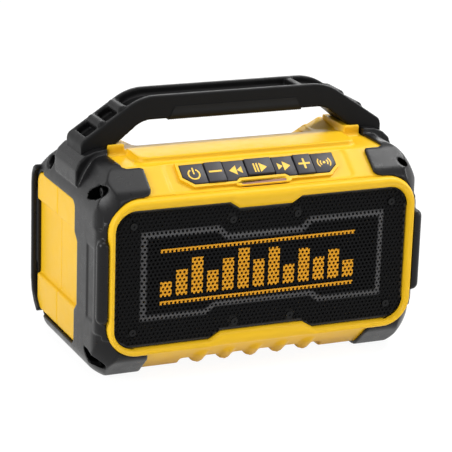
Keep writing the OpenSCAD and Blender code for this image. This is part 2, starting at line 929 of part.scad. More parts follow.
module end_guard() {
    color(guard_black)
    difference() {
        guard_block();
        along_x(-half_w, half_w) housing_section(0);
        along_y(-body_d, body_d) bezel_outline(fit);
        box([0, guard_top_inner], [-top_half - 2, rear_top + 2], [body_top - eps, handle_top]);
        along_x(half_w - eps, body_w) window_outline(0);
        handle_space();
        box([0, yellow_collar[1]], [-body_d, body_d], [body_top - eps, handle_top]);
        guard_bands();
        guard_wells();
    }
    color(guard_black)
    difference() {
        intersection() {
            union() {
                corner_pockets(0);
                shoulders(0);
                heels(0);
            }
            guard_block();
        }
        guard_bands();
        guard_wells();
        handle_space();
    }
}

// Wells for the guard screws and the bores in their floors
module guard_wells() {
    for (w = wells) {
        rod_x(well_floor, w[0], w[1], well_r, body_w);
        rod_x(pocket_x - 1, w[0], w[1], guard_screw_r + 0.2, body_w);
    }
}

module right_end_guard() {
    end_guard();
}

module left_end_guard() {
    mirror([1, 0, 0]) end_guard();
}

module guard_screws() {
    color(steel)
    for (side = [0, 1], w = wells)
        mirror([side, 0, 0])
            difference() {
                union() {
                    rod_x(well_floor + fit - guard_screw_l, w[0], w[1],
                        guard_screw_r - screw_fit, guard_screw_l);
                    rod_x(well_floor, w[0], w[1], guard_head_r, guard_head_h);
                }
                rod_x(well_floor + 1, w[0], w[1], guard_socket_r, guard_head_h);
            }
}

// Handle

// Half of the handle's arch in (X, Z), from the top middle to the foot and back under the bar
function handle_half() = concat(
    bend([0, handle_top], [handle_bar, handle_top], handle_out, handle_bend_r),
    bend([handle_bar, handle_top], handle_out, [handle_out[0], body_top], handle_heel_r),
    [[handle_out[0], body_top], [handle_in[0] + 1, body_top]],
    bend([handle_in[0] + 1, body_top], handle_in, [handle_bar, bar_low_z], handle_bend_r / 4),
    bend(handle_in, [handle_bar - 0.5, bar_low_z], [0, bar_low_z], handle_bend_r / 2)
);

module handle_outline() {
    polygon(concat(handle_half(), mirrored(handle_half())));
}

// Channel in the outer face of the handle, over the bar and down both legs, with ribs across it
module handle_channel() {
    down = handle_out - [handle_bar, handle_top];
    leg = norm(down);
    turn = atan2(down[1], down[0]);
    out = [-sin(turn), cos(turn)];
    floor_bar = [handle_bar - channel_deep * tan(-turn / 2), handle_top - channel_deep];
    floor_end = handle_out - channel_deep * out - channel_end * down / leg;
    for (side = [0, 1]) mirror([side, 0])
        difference() {
            polygon(concat(
                [[-eps, handle_top - channel_deep]],
                bend([0, handle_top - channel_deep], floor_bar, floor_end, handle_bend_r - channel_deep),
                [floor_end, floor_end + 2 * channel_deep * out],
                [[handle_bar + channel_deep, handle_top + channel_deep], [-eps, handle_top + channel_deep]]
            ));
            if (side == 0)
                translate([channel_bar_rib, handle_top - channel_deep - 1])
                    square([channel_rib, channel_deep + 1 - channel_rib_low]);
            translate([handle_bar, handle_top]) rotate(turn)
                for (x = channel_ribs)
                    translate([x * leg - channel_rib / 2, -channel_deep - 1])
                        square([channel_rib, channel_deep + 1 - channel_rib_low]);
        }
}

module handle_shell(y0, y1, c0, c1) {
    color(handle_black)
    difference() {
        along_y(y0, y1) handle_outline();
        along_y(c0, c1) handle_channel();
        handle_bolt_bores();
        for (x = handle_screw_x, side = [-1, 1])
            rod_y(side * x, handle_d / 2 - handle_screw_l, handle_screw_z, handle_screw_r, handle_d);
        for (x = handle_screw_x, side = [-1, 1])
            rod_y(side * x, handle_d / 2 - handle_head_h - handle_head_sink, handle_screw_z,
                handle_head_r + fit, handle_d);
    }
}

module handle_front_shell() {
    handle_shell(-handle_d / 2, 0, -handle_d / 2 + channel_wall, 1);
}

module handle_rear_shell() {
    handle_shell(0, handle_d / 2, -1, handle_d / 2 - channel_wall);
}

module handle_bolt_bores() {
    for (side = [-1, 1], x = handle_bolt_x)
        translate([side * x, 0, body_top - 1]) cylinder(h = handle_bolt_l - shell_t + 1, r = handle_bolt_r);
}

module handle_grip() {
    color([0.13, 0.13, 0.14])
    difference() {
        box([-grip_w / 2, grip_w / 2], [-handle_d / 2 - grip_side, handle_d / 2 + grip_side],
            [bar_low_z - grip_skin, bar_low_z + grip_rise]);
        handle_space();
        for (x = handle_screw_x, side = [-1, 1])
            rod_y(side * x, 0, handle_screw_z, handle_head_r + 1, handle_d);
    }
}

module handle_screws() {
    head_y = handle_d / 2 - handle_head_h - handle_head_sink;
    color(steel)
    for (x = handle_screw_x, side = [-1, 1])
        difference() {
            union() {
                rod_y(side * x, handle_d / 2 - handle_screw_l, handle_screw_z, handle_screw_r - screw_fit,
                    head_y - handle_d / 2 + handle_screw_l);
                rod_y(side * x, head_y, handle_screw_z, handle_head_r, handle_head_h);
            }
            rod_y(side * x, head_y + 1, handle_screw_z, handle_screw_r - 0.4, handle_head_h);
        }
}

module handle_bolts() {
    color(steel)
    for (side = [-1, 1], x = handle_bolt_x)
        translate([side * x, 0, 0]) {
            translate([0, 0, body_top - shell_t])
                cylinder(h = handle_bolt_l - 0.5, r = handle_bolt_r - screw_fit);
            translate([0, 0, body_top - shell_t - handle_bolt_head[1]])
                cylinder(h = handle_bolt_head[1], r = handle_bolt_head[0]);
        }
}

// Grille and baffle

module grille_screw_bores(r) {
    for (side = [-1, 1], p = grille_screw_at)
        rod_y(side * p[0], grille_front - 1, grille_mid + p[1], r, grille_screw_l + 1);
}

module grille() {
    color(metal_black)
    difference() {
        union() {
            along_y(grille_front, grille_front + grille_t) grille_outline(0);
            along_y(grille_front - emboss_h, grille_front) emboss_outline(0);
        }
        along_y(grille_front - emboss_h + grille_t, -half_d) emboss_outline(grille_t);
        grille_screw_bores(grille_screw_r + 0.1);
    }
}

module grille_screws() {
    color(metal_black)
    for (side = [-1, 1], p = grille_screw_at)
        translate([side * p[0], grille_front, grille_mid + p[1]])
            difference() {
                union() {
                    rod_y(0, -grille_head_h, 0, grille_head_r, grille_head_h);
                    rod_y(0, -eps, 0, grille_screw_r - screw_fit, grille_screw_l - 1);
                }
                rod_y(0, -grille_head_h - eps, 0, grille_socket_r, grille_head_h - 0.2);
            }
}

module acoustic_cloth() {
    color([0.03, 0.03, 0.03])
    difference() {
        along_y(-half_d - cloth_t, -half_d) grille_outline(-cloth_margin);
        grille_screw_bores(grille_screw_r + 0.4);
    }
}

module baffle() {
    color([0.1, 0.1, 0.1])
    difference() {
        union() {
            along_y(-half_d, -inner_d) grille_outline(-fit / 2);
            along_y(-inner_d, -inner_d + baffle_t)
                translate([0, grille_mid])
                    round_rect(grille_w + 2 * baffle_margin, grille_h + 2 * baffle_margin, baffle_r);
        }
        for (side = [-1, 1]) {
            at_driver(side) translate([0, 0, -baffle_t - 1]) cylinder(h = baffle_t + 2, r = basket_r + 0.6);
            at_driver(side) cylinder(h = shell_t + 1, r = flange_r + 0.4);
            at_driver(side) driver_screw_ring(-baffle_t + 1, driver_screw_r, baffle_t);
        }
        grille_screw_bores(grille_screw_r);
    }
}

// Loudspeakers

module driver_screw_ring(z, r, h) {
    for (a = [45 : 90 : 315])
        rotate(a) translate([driver_screw_ring, 0, z]) cylinder(h = h, r = r);
}

module basket(side) {
    color([0.2, 0.2, 0.21])
    at_driver(side) difference() {
        rotate_extrude() polygon([
            [basket_r - basket_wall, 0], [basket_r - basket_wall, flange_t],
            [flange_r, flange_t], [flange_r, 0], [basket_r, 0], [basket_r, basket_step],
            [spider_r + 1.4, spider_z + spider_t], [spider_r + 1.4, spider_z - spider_seat],
            [basket_foot_r, basket_floor], [basket_foot_r, plate_top], [coil_r + gap_out, plate_top],
            [coil_r + gap_out, basket_floor],
            [basket_foot_r - basket_wall, basket_floor], [spider_r - spider_seat, spider_z - spider_seat],
            [spider_r - spider_seat, spider_z],
            [spider_r + 0.2, spider_z], [spider_r + 0.2, spider_z + spider_t],
            [basket_r - basket_wall, basket_step]
        ]);
        driver_screw_ring(-1, driver_screw_r + 0.2, flange_t + 2);
        for (a = [0 : 60 : 300])
            rotate(a) translate([spider_r + 2, -basket_window[1] / 2, spider_z + 3]) cube(basket_window);
    }
}

module magnet(side) {
    color([0.15, 0.15, 0.16])
    at_driver(side) translate([0, 0, plate_top - plate_t - magnet_t])
        difference() {
            cylinder(h = magnet_t, r = magnet_r);
            translate([0, 0, -1]) cylinder(h = magnet_t + 2, r = coil_r + gap_out + 2);
        }
}

// Top plate, and the back plate with its pole
module yoke(side) {
    color(steel)
    at_driver(side) {
        translate([0, 0, plate_top - plate_t]) difference() {
            cylinder(h = plate_t, r = magnet_r - 4);
            translate([0, 0, -1]) cylinder(h = plate_t + 2, r = coil_r + gap_out);
        }
        translate([0, 0, plate_top - plate_t - magnet_t - yoke_t]) cylinder(h = yoke_t, r = magnet_r - 2);
        translate([0, 0, plate_top - plate_t - magnet_t - eps])
            cylinder(h = plate_t + magnet_t - 0.4, r = pole_r);
    }
}

module surround(side) {
    lip = flange_t;
    color([0.06, 0.06, 0.06])
    at_driver(side) rotate_extrude() {
        translate([roll_mid + roll_r - surround_t, lip])
            square([surround_out - roll_mid - roll_r + surround_t, surround_t]);
        translate([surround_in - surround_lip, lip])
            square([roll_mid - roll_r + surround_t - surround_in + surround_lip, surround_t]);
        translate([roll_mid, lip + surround_t]) difference() {
            circle(roll_r);
            circle(roll_r - surround_t);
            translate([-2 * roll_r, 0]) square(4 * roll_r);
        }
    }
}

module spider(side) {
    color([0.75, 0.62, 0.3])
    at_driver(side) translate([0, 0, spider_z]) difference() {
        cylinder(h = spider_t, r = spider_r);
        translate([0, 0, -1]) cylinder(h = spider_t + 2, r = coil_r);
    }
}

module cone(side) {
    edge = flange_t;
    lap_z = cone_neck + cone_lap;
    color([0.12, 0.12, 0.13])
    at_driver(side) rotate_extrude() {
        polygon([
            [surround_in, edge], [surround_in - surround_lip, edge], [coil_r, lap_z], [coil_r, cone_neck],
            [coil_r + cone_wall, cone_neck], [surround_in, edge - cone_wall]
        ]);
        polygon([
            [0, lap_z + cap_rise], [coil_r * 0.6, lap_z + 0.75 * cap_rise], [coil_r + 1, lap_z + cone_wall],
            [coil_r, lap_z], [coil_r - former_t, lap_z], [coil_r * 0.6, lap_z + 0.75 * cap_rise - cone_wall],
            [0, lap_z + cap_rise - cone_wall]
        ]);
    }
}

module voice_coil(side) {
    foot = plate_top - plate_t - former_drop;
    length = cone_neck + cone_lap - foot;
    color([0.72, 0.42, 0.2])
    at_driver(side) translate([0, 0, foot]) difference() {
        cylinder(h = length, r = coil_r);
        translate([0, 0, -1]) cylinder(h = length + 2, r = coil_r - former_t);
    }
}

module left_basket() { basket(-1); }
module left_magnet() { magnet(-1); }
module left_yoke() { yoke(-1); }
module left_surround() { surround(-1); }
module left_spider() { spider(-1); }
module left_cone() { cone(-1); }
module left_voice_coil() { voice_coil(-1); }
module right_basket() { basket(1); }
module right_magnet() { magnet(1); }
module right_yoke() { yoke(1); }
module right_surround() { surround(1); }
module right_spider() { spider(1); }
module right_cone() { cone(1); }
module right_voice_coil() { voice_coil(1); }

module driver_screws() {
    color(steel)
    for (side = [-1, 1]) at_driver(side) {
        driver_screw_ring(flange_t, driver_head_r, driver_head_h);
        driver_screw_ring(flange_t - driver_screw_l, driver_screw_r - screw_fit, driver_screw_l + eps);
    }
}

// Keys

module keypad_panel() {
    color(yellow)
    on_brow() translate([0, 0, -brow_recess]) linear_extrude(brow_recess + panel_t) difference() {
        pad_outline(panel_rim);
        pad_outline(0);
    }
}

// Key between two column edges; a raised key stands higher
module key(x0, x1, low, raise) {
    color([0.22, 0.22, 0.23])
    on_brow() translate([0, 0, -key_root]) linear_extrude(key_root + key_h + raise)
        intersection() {
            pad_outline(-key_gap / 2);
            translate([x0 + key_gap / 2, low]) square([x1 - x0 - key_gap, brow_len]);
        }
}

module power_key() { key(-key_edge[3] - 1, -key_edge[2], 0, 0); }
module volume_down_key() { key(-key_edge[2], -key_edge[1], 0, key_raise); }
module previous_key() { key(-key_edge[1], -key_edge[0], 0, 0); }
module play_key() { key(-key_edge[0], key_edge[0], pad_low + play_lift, key_raise); }
module next_key() { key(key_edge[0], key_edge[1], 0, 0); }
module volume_up_key() { key(key_edge[1], key_edge[2], 0, key_raise); }
module pairing_key() { key(key_edge[2], key_edge[3] + 1, 0, 0); }

module light_bar() {
    color([0.45, 0.32, 0.28])
    on_brow() translate([-bar_half, bar_low, -shell_t])
        cube([2 * bar_half, bar_high - bar_low, shell_t + bar_proud]);
}

module key_board() {
    color([0.05, 0.3, 0.12])
    on_brow() translate([-key_board_w / 2, key_board_low, switch_top - switch_h - board_t])
        cube([key_board_w, key_board_high - key_board_low, board_t]);
}

module key_switches() {
    mid = [for (i = [0 : 2]) (key_edge[i] + key_edge[i + 1]) / 2];
    y = (pad_low + pad_high) / 2;
    color([0.08, 0.08, 0.08])
    on_brow() for (x = concat([0], mid, -mid))
        translate([x, y, switch_top - switch_h]) {
            translate([-switch_w / 2, -switch_w / 2, 0]) cube([switch_w, switch_w, switch_body_h]);
            translate([0, 0, switch_body_h - eps]) cylinder(h = switch_h - switch_body_h, r = plunger_r);
        }
}

// Electronics

module main_board() {
    color([0.05, 0.3, 0.12])
    difference() {
        box([-main_board_w / 2, main_board_w / 2], [board_y - board_t, board_y], main_board_z);
        for (x = [-standoff_x, standoff_x], z = standoff_z)
            rod_y(x, board_y - board_t - 1, z, board_screw_r + 0.2, board_t + 2);
    }
}

module board_screws() {
    color(steel)
    for (x = [-standoff_x, standoff_x], z = standoff_z) {
        rod_y(x, board_y - board_t - board_head_h, z, board_head_r, board_head_h);
        rod_y(x, board_y - board_t - eps, z, board_screw_r - screw_fit, board_t + board_screw_bite);
    }
}

module heat_sink() {
    face = board_y - board_t;
    color([0.75, 0.76, 0.78])
    union() {
        box([-sink_w / 2, sink_w / 2], [face - sink_base, face], sink_z);
        for (x = [-sink_w / 2 : sink_fin[2] : sink_w / 2 - sink_fin[0]])
            box([x, x + sink_fin[0]], [face - sink_base - sink_fin[1], face - sink_base + eps], sink_z);
    }
}

module capacitors() {
    color([0.1, 0.1, 0.25])
    for (x = cap_x) rod_y(x, board_y - board_t - cap_l, cap_z, cap_r, cap_l);
}

module housing_screws() {
    head_y = half_d - housing_recess;
    color(steel)
    for (side = [-1, 1], z = boss_z)
        difference() {
            union() {
                rod_y(side * boss_x, head_y, z, housing_head_r, housing_head_h);
                rod_y(side * boss_x, boss_front + housing_bite, z, housing_screw_r - screw_fit,
                    head_y - boss_front - housing_bite + eps);
            }
            rod_y(side * boss_x, head_y + 1, z, housing_socket_r, housing_head_h);
        }
}

// Ports

// Panel socket with a square body inside the wall and a round nose in it
module socket(x, nose_r, body, bore) {
    difference() {
        union() {
            rod_y(x, port_wall - eps, socket_z, nose_r, shell_t + socket_lift);
            translate([x - body[0] / 2, port_wall - body[1], socket_z - body[2] / 2]) cube(body);
        }
        rod_y(x, port_floor + socket_lift - bore[1], socket_z, bore[0], bore[1] + 1);
    }
}

module dc_socket() {
    color([0.08, 0.08, 0.08]) {
        socket(dc_x, dc_nose_r, dc_body, dc_bore);
        rod_y(dc_x, port_floor + socket_lift - dc_bore[1] - 1, socket_z, dc_pin[0], dc_pin[1]);
    }
}

module aux_socket() {
    color([0.08, 0.08, 0.08]) socket(aux_x, aux_nose_r, aux_body, aux_bore);
}

// Rubber flap over the sockets, with a rolled lower edge between two ears
module port_cover() {
    x = [port_x[0] - cover_over, port_x[1] + cover_over];
    knuckle = [x[0] + lug_w + 2 * cover_gap, x[1] - lug_w - 2 * cover_gap];
    flap_y = half_d + cover_gap;
    color([0.12, 0.12, 0.12])
    union() {
        box(x, [flap_y, flap_y + cover_t], [hinge_z + hinge_r + cover_gap, port_z[1] + cover_over]);
        box(knuckle, [flap_y, flap_y + cover_t], [hinge_z, hinge_z + hinge_r + 2 * cover_gap]);
        rod_x(knuckle[0], hinge_y, hinge_z, hinge_r, knuckle[1] - knuckle[0]);
        rod_x(x[0] + 2 * cover_gap, hinge_y, hinge_z, hinge_pin_r, x[1] - x[0] - 4 * cover_gap);
    }
}

// Battery bay and pack

module battery_cradle() {
    color(guard_black)
    union() {
        box([-bay_w / 2 + 1, bay_w / 2 - 1], [bay_front, pack_face], [bay_floor, pack_top]);
        both_ends() {
            box([rail_out - rail_web, rail_out], [pack_face - eps, pack_face + rail_reach],
                [pack_z, rail_top]);
            box([rail_out - rail_web - rail_lip, rail_out - rail_web + eps],
                [pack_face + rail_reach - rail_lip_t, pack_face + rail_reach], [pack_z, rail_top]);
        }
    }
}

module terminal_block() {
    color([0.06, 0.06, 0.06])
    box([-block_w / 2, block_w / 2], [pack_face, pack_face + block_d], [bay_floor, pack_z - block_gap]);
}

module terminal_blades() {
    color([0.8, 0.62, 0.25])
    for (x = blade_x)
        box([x - blade_t / 2, x + blade_t / 2], [pack_face + blade_y[0], pack_face + blade_y[1]],
            [pack_z - block_gap, pack_z + blade_l]);
}

module contact_slots() {
    for (x = blade_x)
        box([x - slot_w / 2, x + slot_w / 2],
            [pack_face + blade_y[0] - slot_room, pack_face + blade_y[1] + slot_room],
            [pack_z - eps, pack_z + blade_l + 2]);
}

// Half of the pack that carries the T rail, the contact slots and the latch pocket
module pack_rail_case() {
    color(guard_black)
    difference() {
        union() {
            box([-head_half, head_half], [spine_y, spine_y + head_t], [pack_z, pack_top]);
            box([-stem_half, stem_half], [spine_y + head_t - eps, pack_y + eps], [pack_z, pack_top]);
            box([-pack_w / 2, pack_w / 2], [pack_y, case_split], [pack_z, pack_top]);
        }
        contact_slots();
        box([-latch_w / 2 - fit, latch_w / 2 + fit], [latch_y, latch_y + latch_t + latch_room],
            [pack_top - latch_l - fit, pack_top + 1]);
    }
}

module pack_cell_case() {
    color(yellow)
    difference() {
        box([-pack_w / 2, pack_w / 2], [case_split, pack_rear], [pack_z, pack_top]);
        box([-pack_w / 2 + pack_wall, pack_w / 2 - pack_wall], [case_split - eps, pack_rear - pack_wall],
            [pack_z + pack_wall, pack_top - pack_wall]);
    }
}

module pack_cells() {
    cell_y = pack_rear - pack_wall - cell_r - cell_play;
    color([0.2, 0.5, 0.7])
    for (i = [0 : cell_count - 1])
        rod_x(-cell_l / 2, cell_y, (pack_z + pack_top) / 2 + (i - (cell_count - 1) / 2) * cell_pitch,
            cell_r, cell_l);
}

module pack_contacts() {
    color([0.85, 0.85, 0.8])
    for (x = blade_x, side = [-1, 1])
        translate([
            x + side * (slot_w - contact_t) / 2 - contact_t / 2, pack_face + blade_y[0], pack_z + contact_lift
        ])
            cube([contact_t, blade_y[1] - blade_y[0], blade_l - contact_lift]);
}

module pack_latch() {
    color([0.75, 0.1, 0.08])
    box([-latch_w / 2, latch_w / 2], [latch_y + fit, latch_y + latch_t],
        [pack_top - latch_l, pack_top + latch_lip]);
}

// Coil spring behind the latch
function coil_point(t, r, l) = [r * cos(360 * spring_turns * t), r * sin(360 * spring_turns * t), l * t];

module pack_latch_spring() {
    steps = 14 * spring_turns;
    sides = 6;
    length = latch_room - 2 * (spring_wire + spring_play);
    ring = [for (i = [0 : steps], j = [0 : sides - 1])
        let (t = i / steps, a = 360 * spring_turns * t, b = 360 * j / sides)
        coil_point(t, spring_r, length) + spring_wire * [cos(b) * cos(a), cos(b) * sin(a), sin(b)]];
    walls = [for (i = [0 : steps - 1], j = [0 : sides - 1])
        [i * sides + j, i * sides + (j + 1) % sides, (i + 1) * sides + (j + 1) % sides, (i + 1) * sides + j]];
    first = [for (j = [sides - 1 : -1 : 0]) j];
    last = [for (j = [0 : sides - 1]) steps * sides + j];
    color(steel)
    translate([0, latch_y + latch_t + spring_wire + spring_play + length, pack_top - latch_l / 2])
        rotate([90, 0, 0]) polyhedron(ring, concat(walls, [first, last]));
}

front_housing();
rear_housing();
left_end_guard();
right_end_guard();
guard_screws();
handle_front_shell();
handle_rear_shell();
handle_grip();
handle_screws();
handle_bolts();
grille();
grille_screws();
acoustic_cloth();
baffle();
driver_screws();
keypad_panel();
light_bar();
key_board();
key_switches();
power_key();
volume_down_key();
previous_key();
play_key();
next_key();
volume_up_key();
pairing_key();
left_basket();
left_magnet();
left_yoke();
left_surround();
left_spider();
left_cone();
left_voice_coil();
right_basket();
right_magnet();
right_yoke();
right_surround();
right_spider();
right_cone();
right_voice_coil();
main_board();
heat_sink();
capacitors();
board_screws();
housing_screws();
dc_socket();
aux_socket();
port_cover();
battery_cradle();
terminal_block();
terminal_blades();
pack_rail_case();
pack_cell_case();
pack_cells();
pack_contacts();
pack_latch();
pack_latch_spring();
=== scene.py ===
import json
import math

import bmesh
import bpy
from mathutils import Matrix, Vector


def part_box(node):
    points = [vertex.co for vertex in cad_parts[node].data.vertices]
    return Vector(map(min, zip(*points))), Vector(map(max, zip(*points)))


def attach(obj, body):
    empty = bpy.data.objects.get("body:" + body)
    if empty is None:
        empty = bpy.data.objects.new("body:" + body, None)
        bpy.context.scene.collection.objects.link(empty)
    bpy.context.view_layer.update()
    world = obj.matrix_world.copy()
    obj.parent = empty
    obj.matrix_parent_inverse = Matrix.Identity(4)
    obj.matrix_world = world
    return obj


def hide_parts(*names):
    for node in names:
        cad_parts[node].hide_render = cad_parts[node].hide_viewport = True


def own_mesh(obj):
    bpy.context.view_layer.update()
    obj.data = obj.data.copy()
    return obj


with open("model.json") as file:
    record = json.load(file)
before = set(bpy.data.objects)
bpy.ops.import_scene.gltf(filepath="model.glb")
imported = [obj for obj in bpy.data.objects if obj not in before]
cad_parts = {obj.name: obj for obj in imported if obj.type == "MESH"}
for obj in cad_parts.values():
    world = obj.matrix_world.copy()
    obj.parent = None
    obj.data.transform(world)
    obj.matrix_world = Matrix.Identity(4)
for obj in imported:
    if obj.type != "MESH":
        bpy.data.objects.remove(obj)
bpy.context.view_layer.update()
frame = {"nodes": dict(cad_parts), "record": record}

MM = 0.001
ROOT = "speaker_body"
NODE = frame["nodes"]
SCENE = bpy.context.scene

# The photo's camera: turn, tilt and roll in degrees, place in metres, focal length and photo width in pixels
CAMERA_ANGLES = (24.115, 17.343, 1.868)
CAMERA_PLACE = (-0.7817, -1.7524, 0.7079)
FOCAL_PX, PHOTO_PX = 2141.9, 452
SENSOR = 36
# Light from the world, and the floor's colour in the light, its shade and its glow where it is seen
WORLD_LIGHT = 0.22
FLOOR_LIT, FLOOR_SHADE, FLOOR_GLOW = 0.94, 0.12, 0.94
FLOOR_SIZE = 9

# Sizes of the CAD model that the pieces are fitted to, in millimetres
MID_HEIGHT = 97
FACE_Y = -90.0
BROW_FOOT = 173.0
BROW_ANGLE = math.atan2(20.0, 26.6)
BROW = Matrix.Translation((0, FACE_Y * MM, BROW_FOOT * MM)) @ Matrix.Rotation(BROW_ANGLE, 4, "X")
BEZEL = {"half": 150.0, "low": 27.0, "high": 172.0, "r": 28.0}
GRILLE = {"half": 143.5, "low": 34.0, "high": 161.5, "r": 19.0}
# The grille's notches: half width at the floor, half width at the mouth, depth
NOTCH_TOP = (26.0, 35.0, 6.0)
NOTCH_LOW = (41.0, 52.0, 6.7)
# The grille's front face and thickness
GRILLE_FRONT = -92.0
PLATE = 1.2
# The grille's holes: pitch, radius, columns, pairs of rows, height of a row, first hole in X and Z
HOLE_PITCH, HOLE_R = 4.0, 1.28
HOLE_COLUMNS, HOLE_ROW_PAIRS = 74, 20
HOLE_ROW = HOLE_PITCH * math.sqrt(3) / 2
HOLE_ORIGIN = (-37 * HOLE_PITCH, 97.75 - 20 * HOLE_ROW)
# No hole lies closer than this to the grille's outline or to a screw
EDGE_CLEAR, SCREW_CLEAR = 2.9, 5.0
# Edges this close to a screw, and this far from the outline, close the plate round it
ROUND_SCREW, OFF_EDGE = 9, 5.5
# The embossed middle: rise, how far outside its outline the slope starts, and the slope's width
EMBOSS_RISE = 1.6
SLOPE_START, SLOPE_WIDE = 1.5, 6.5
EMBOSS = [
    (36.0, 132.0), (45.0, 140.0), (118.5, 140.0), (118.5, 59.5), (56.0, 59.5), (47.0, 66.0),
]
GRILLE_SCREWS = [(126.7, 147.75), (31.8, 145.3), (126.2, 49.0), (27.5, 48.6)]
# The painted bars: heights, pitch, first edge, width and foot; the lines above and below them
BAR_HEIGHTS = [14, 24, 34, 20, 30, 38, 26, 36, 18, 32, 22, 28, 16]
BAR_PITCH, BAR_FIRST, BAR_WIDE, BAR_FOOT = 15.0, -101.0, 11, 80
LINE_FEET, LINE_TALL = (72.5, 121.0), 3.4
# The keys on the brow: edges across, middle up the slope, height of a cap, what a raised one adds
KEY_EDGE = [share * 75.7 for share in (0.1757, 0.4597, 0.6935, 1.0)]
PAD_MIDDLE = 18.8
KEY_TOP = 2.0
KEY_RAISE = 1.2
# The signs on the keys: size, thickness and how deep they sit in the cap
SIGN_SIZE = Matrix.Diagonal((1.08, 1.08, 1, 1))
INK, INK_SUNK = 0.16, 0.06
# Inner end of the guards' tongues
GUARD_INNER = 109.0
# The guards' corners lie inside these spheres: middle, radius, whether the rear corner follows
CORNER_BALLS = [((113, 49, 151), 55.5, False), ((113, 49, 43), 54.0, True)]
# Oval mouths of the front screw wells: middle, half length, half width, outward axis, depth, floor's slant
WELL_MOUTHS = {
    "left": [
        ((-154.7, -73.9, 175.8), (10.2, -3.2, 4.1), (-1.3, 2.3, 4.9), (-0.335, -0.899, 0.285), 11.0, 7.0),
        ((-154.7, -73.9, 18.2), (10.2, -3.2, -4.1), (-1.3, 2.3, -4.9), (-0.335, -0.899, -0.285), 11.0, 7.0),
    ],
    "right": [
        ((141.2, -83.0, 181.8), (-4.3, 3.2, 3.8), (1.8, -0.1, 2.1), (-0.466, -0.845, 0.265), 1.0, 1.2),
        ((154.7, -73.9, 18.2), (-10.2, -3.2, -4.1), (1.3, 2.3, -4.9), (0.335, -0.899, -0.285), 11.0, 7.0),
    ],
}
# How far their cutters stand out, and the cutters' size at the foot and at the outer end
WELL_OUT = 12.0
WELL_TAPER = (0.85, 1.06)
# Painted shade inside the wells fades over this share of the mouth, and reaches this far below the floor
WELL_SHADE_FADE, WELL_SHADE_BELOW = 0.12, 2
# Rounded ends of the guards' tongues on the brow: middle across, middle up the slope, radius, up or down;
# they take in what lies this close to the slope
TONGUE_ENDS = [(GUARD_INNER + 7.5, 25.8, 7.5, 1), (GUARD_INNER + 6.0, 6.0, 6.0, -1)]
TONGUE_THICK = 6
# The rear bumpers, behind this Y, keep a share of what stands beyond this X
REAR_FROM = 60
REAR_BUMPER_X, REAR_BUMPER_SHARE = 152.0, 0.45
# Section of the saddle under each foot of the handle, and its half depth
SADDLE = [
    (127.5, 190), (127.5, 201), (140, 199.5), (149, 196),
    (155, 190.5), (157.8, 183), (157.8, 170), (150, 170),
]
SADDLE_HALF = 28.5
# Corners of the ramp behind the deck on the right
RAMP = [
    (87, 29, 188), (87, 6, 190), (108, 29, 199.5), (112, 29, 199.5), (112, 29, 188),
    (112, -22, 194), (107, -22, 194), (112, -22, 188), (98, -10, 190), (98, 29, 186),
]
# Band at the rear edge of the end panel: its path in Y and Z, half width, and inner and outer X
RIM_PATH = [(80, 158), (85.5, 155), (89, 149), (90.3, 140), (90.3, 46), (88, 34), (82, 25), (74, 18)]
RIM_HALF = 2.6
RIM_X = (148.0, 158.8)
# Knuckles across the handle's legs: places in X and Z, radius, half length
KNUCKLES = [(107.6, 230.3), (126.8, 217.6)]
KNUCKLE_R, KNUCKLE_HALF = 5.6, 15.0


# Camera, light and floor

def photo_camera():
    turn, tilt, roll = (math.radians(angle) for angle in CAMERA_ANGLES)
    right = Vector((math.cos(turn), -math.sin(turn), 0))
    ahead = Vector((math.sin(turn) * math.cos(tilt), math.cos(turn) * math.cos(tilt), -math.sin(tilt)))
    up = right.cross(ahead)
    x_axis = right * math.cos(roll) + up * math.sin(roll)
    y_axis = up * math.cos(roll) - right * math.sin(roll)
    lens = bpy.data.cameras.new("photo_camera")
    lens.sensor_width = SENSOR
    lens.lens = SENSOR * FOCAL_PX / PHOTO_PX
    lens.clip_end = 50
    camera = bpy.data.objects.new("photo_camera", lens)
    turned = Matrix((x_axis, y_axis, -ahead)).transposed().to_4x4()
    camera.matrix_world = Matrix.Translation(CAMERA_PLACE) @ turned
    SCENE.collection.objects.link(camera)
    SCENE.camera = camera


def soft_box(name, place, aim, size, watts):
    lamp = bpy.data.lights.new(name, "AREA")
    lamp.shape = "RECTANGLE"
    lamp.size, lamp.size_y = size
    lamp.energy = watts
    box = bpy.data.objects.new(name, lamp)
    box.location = place
    box.rotation_euler = (Vector(aim) - Vector(place)).to_track_quat("-Z", "Y").to_euler()
    SCENE.collection.objects.link(box)


def seen_directly(tree):
    """1 for rays that show the background itself: from the camera, in a reflection or through glass."""
    path = tree.nodes.new("ShaderNodeLightPath")
    first = tree.nodes.new("ShaderNodeMath")
    first.operation = "MAXIMUM"
    second = tree.nodes.new("ShaderNodeMath")
    second.operation = "MAXIMUM"
    tree.links.new(path.outputs["Is Camera Ray"], first.inputs[0])
    tree.links.new(path.outputs["Is Glossy Ray"], first.inputs[1])
    tree.links.new(first.outputs[0], second.inputs[0])
    tree.links.new(path.outputs["Is Transmission Ray"], second.inputs[1])
    return second.outputs[0]


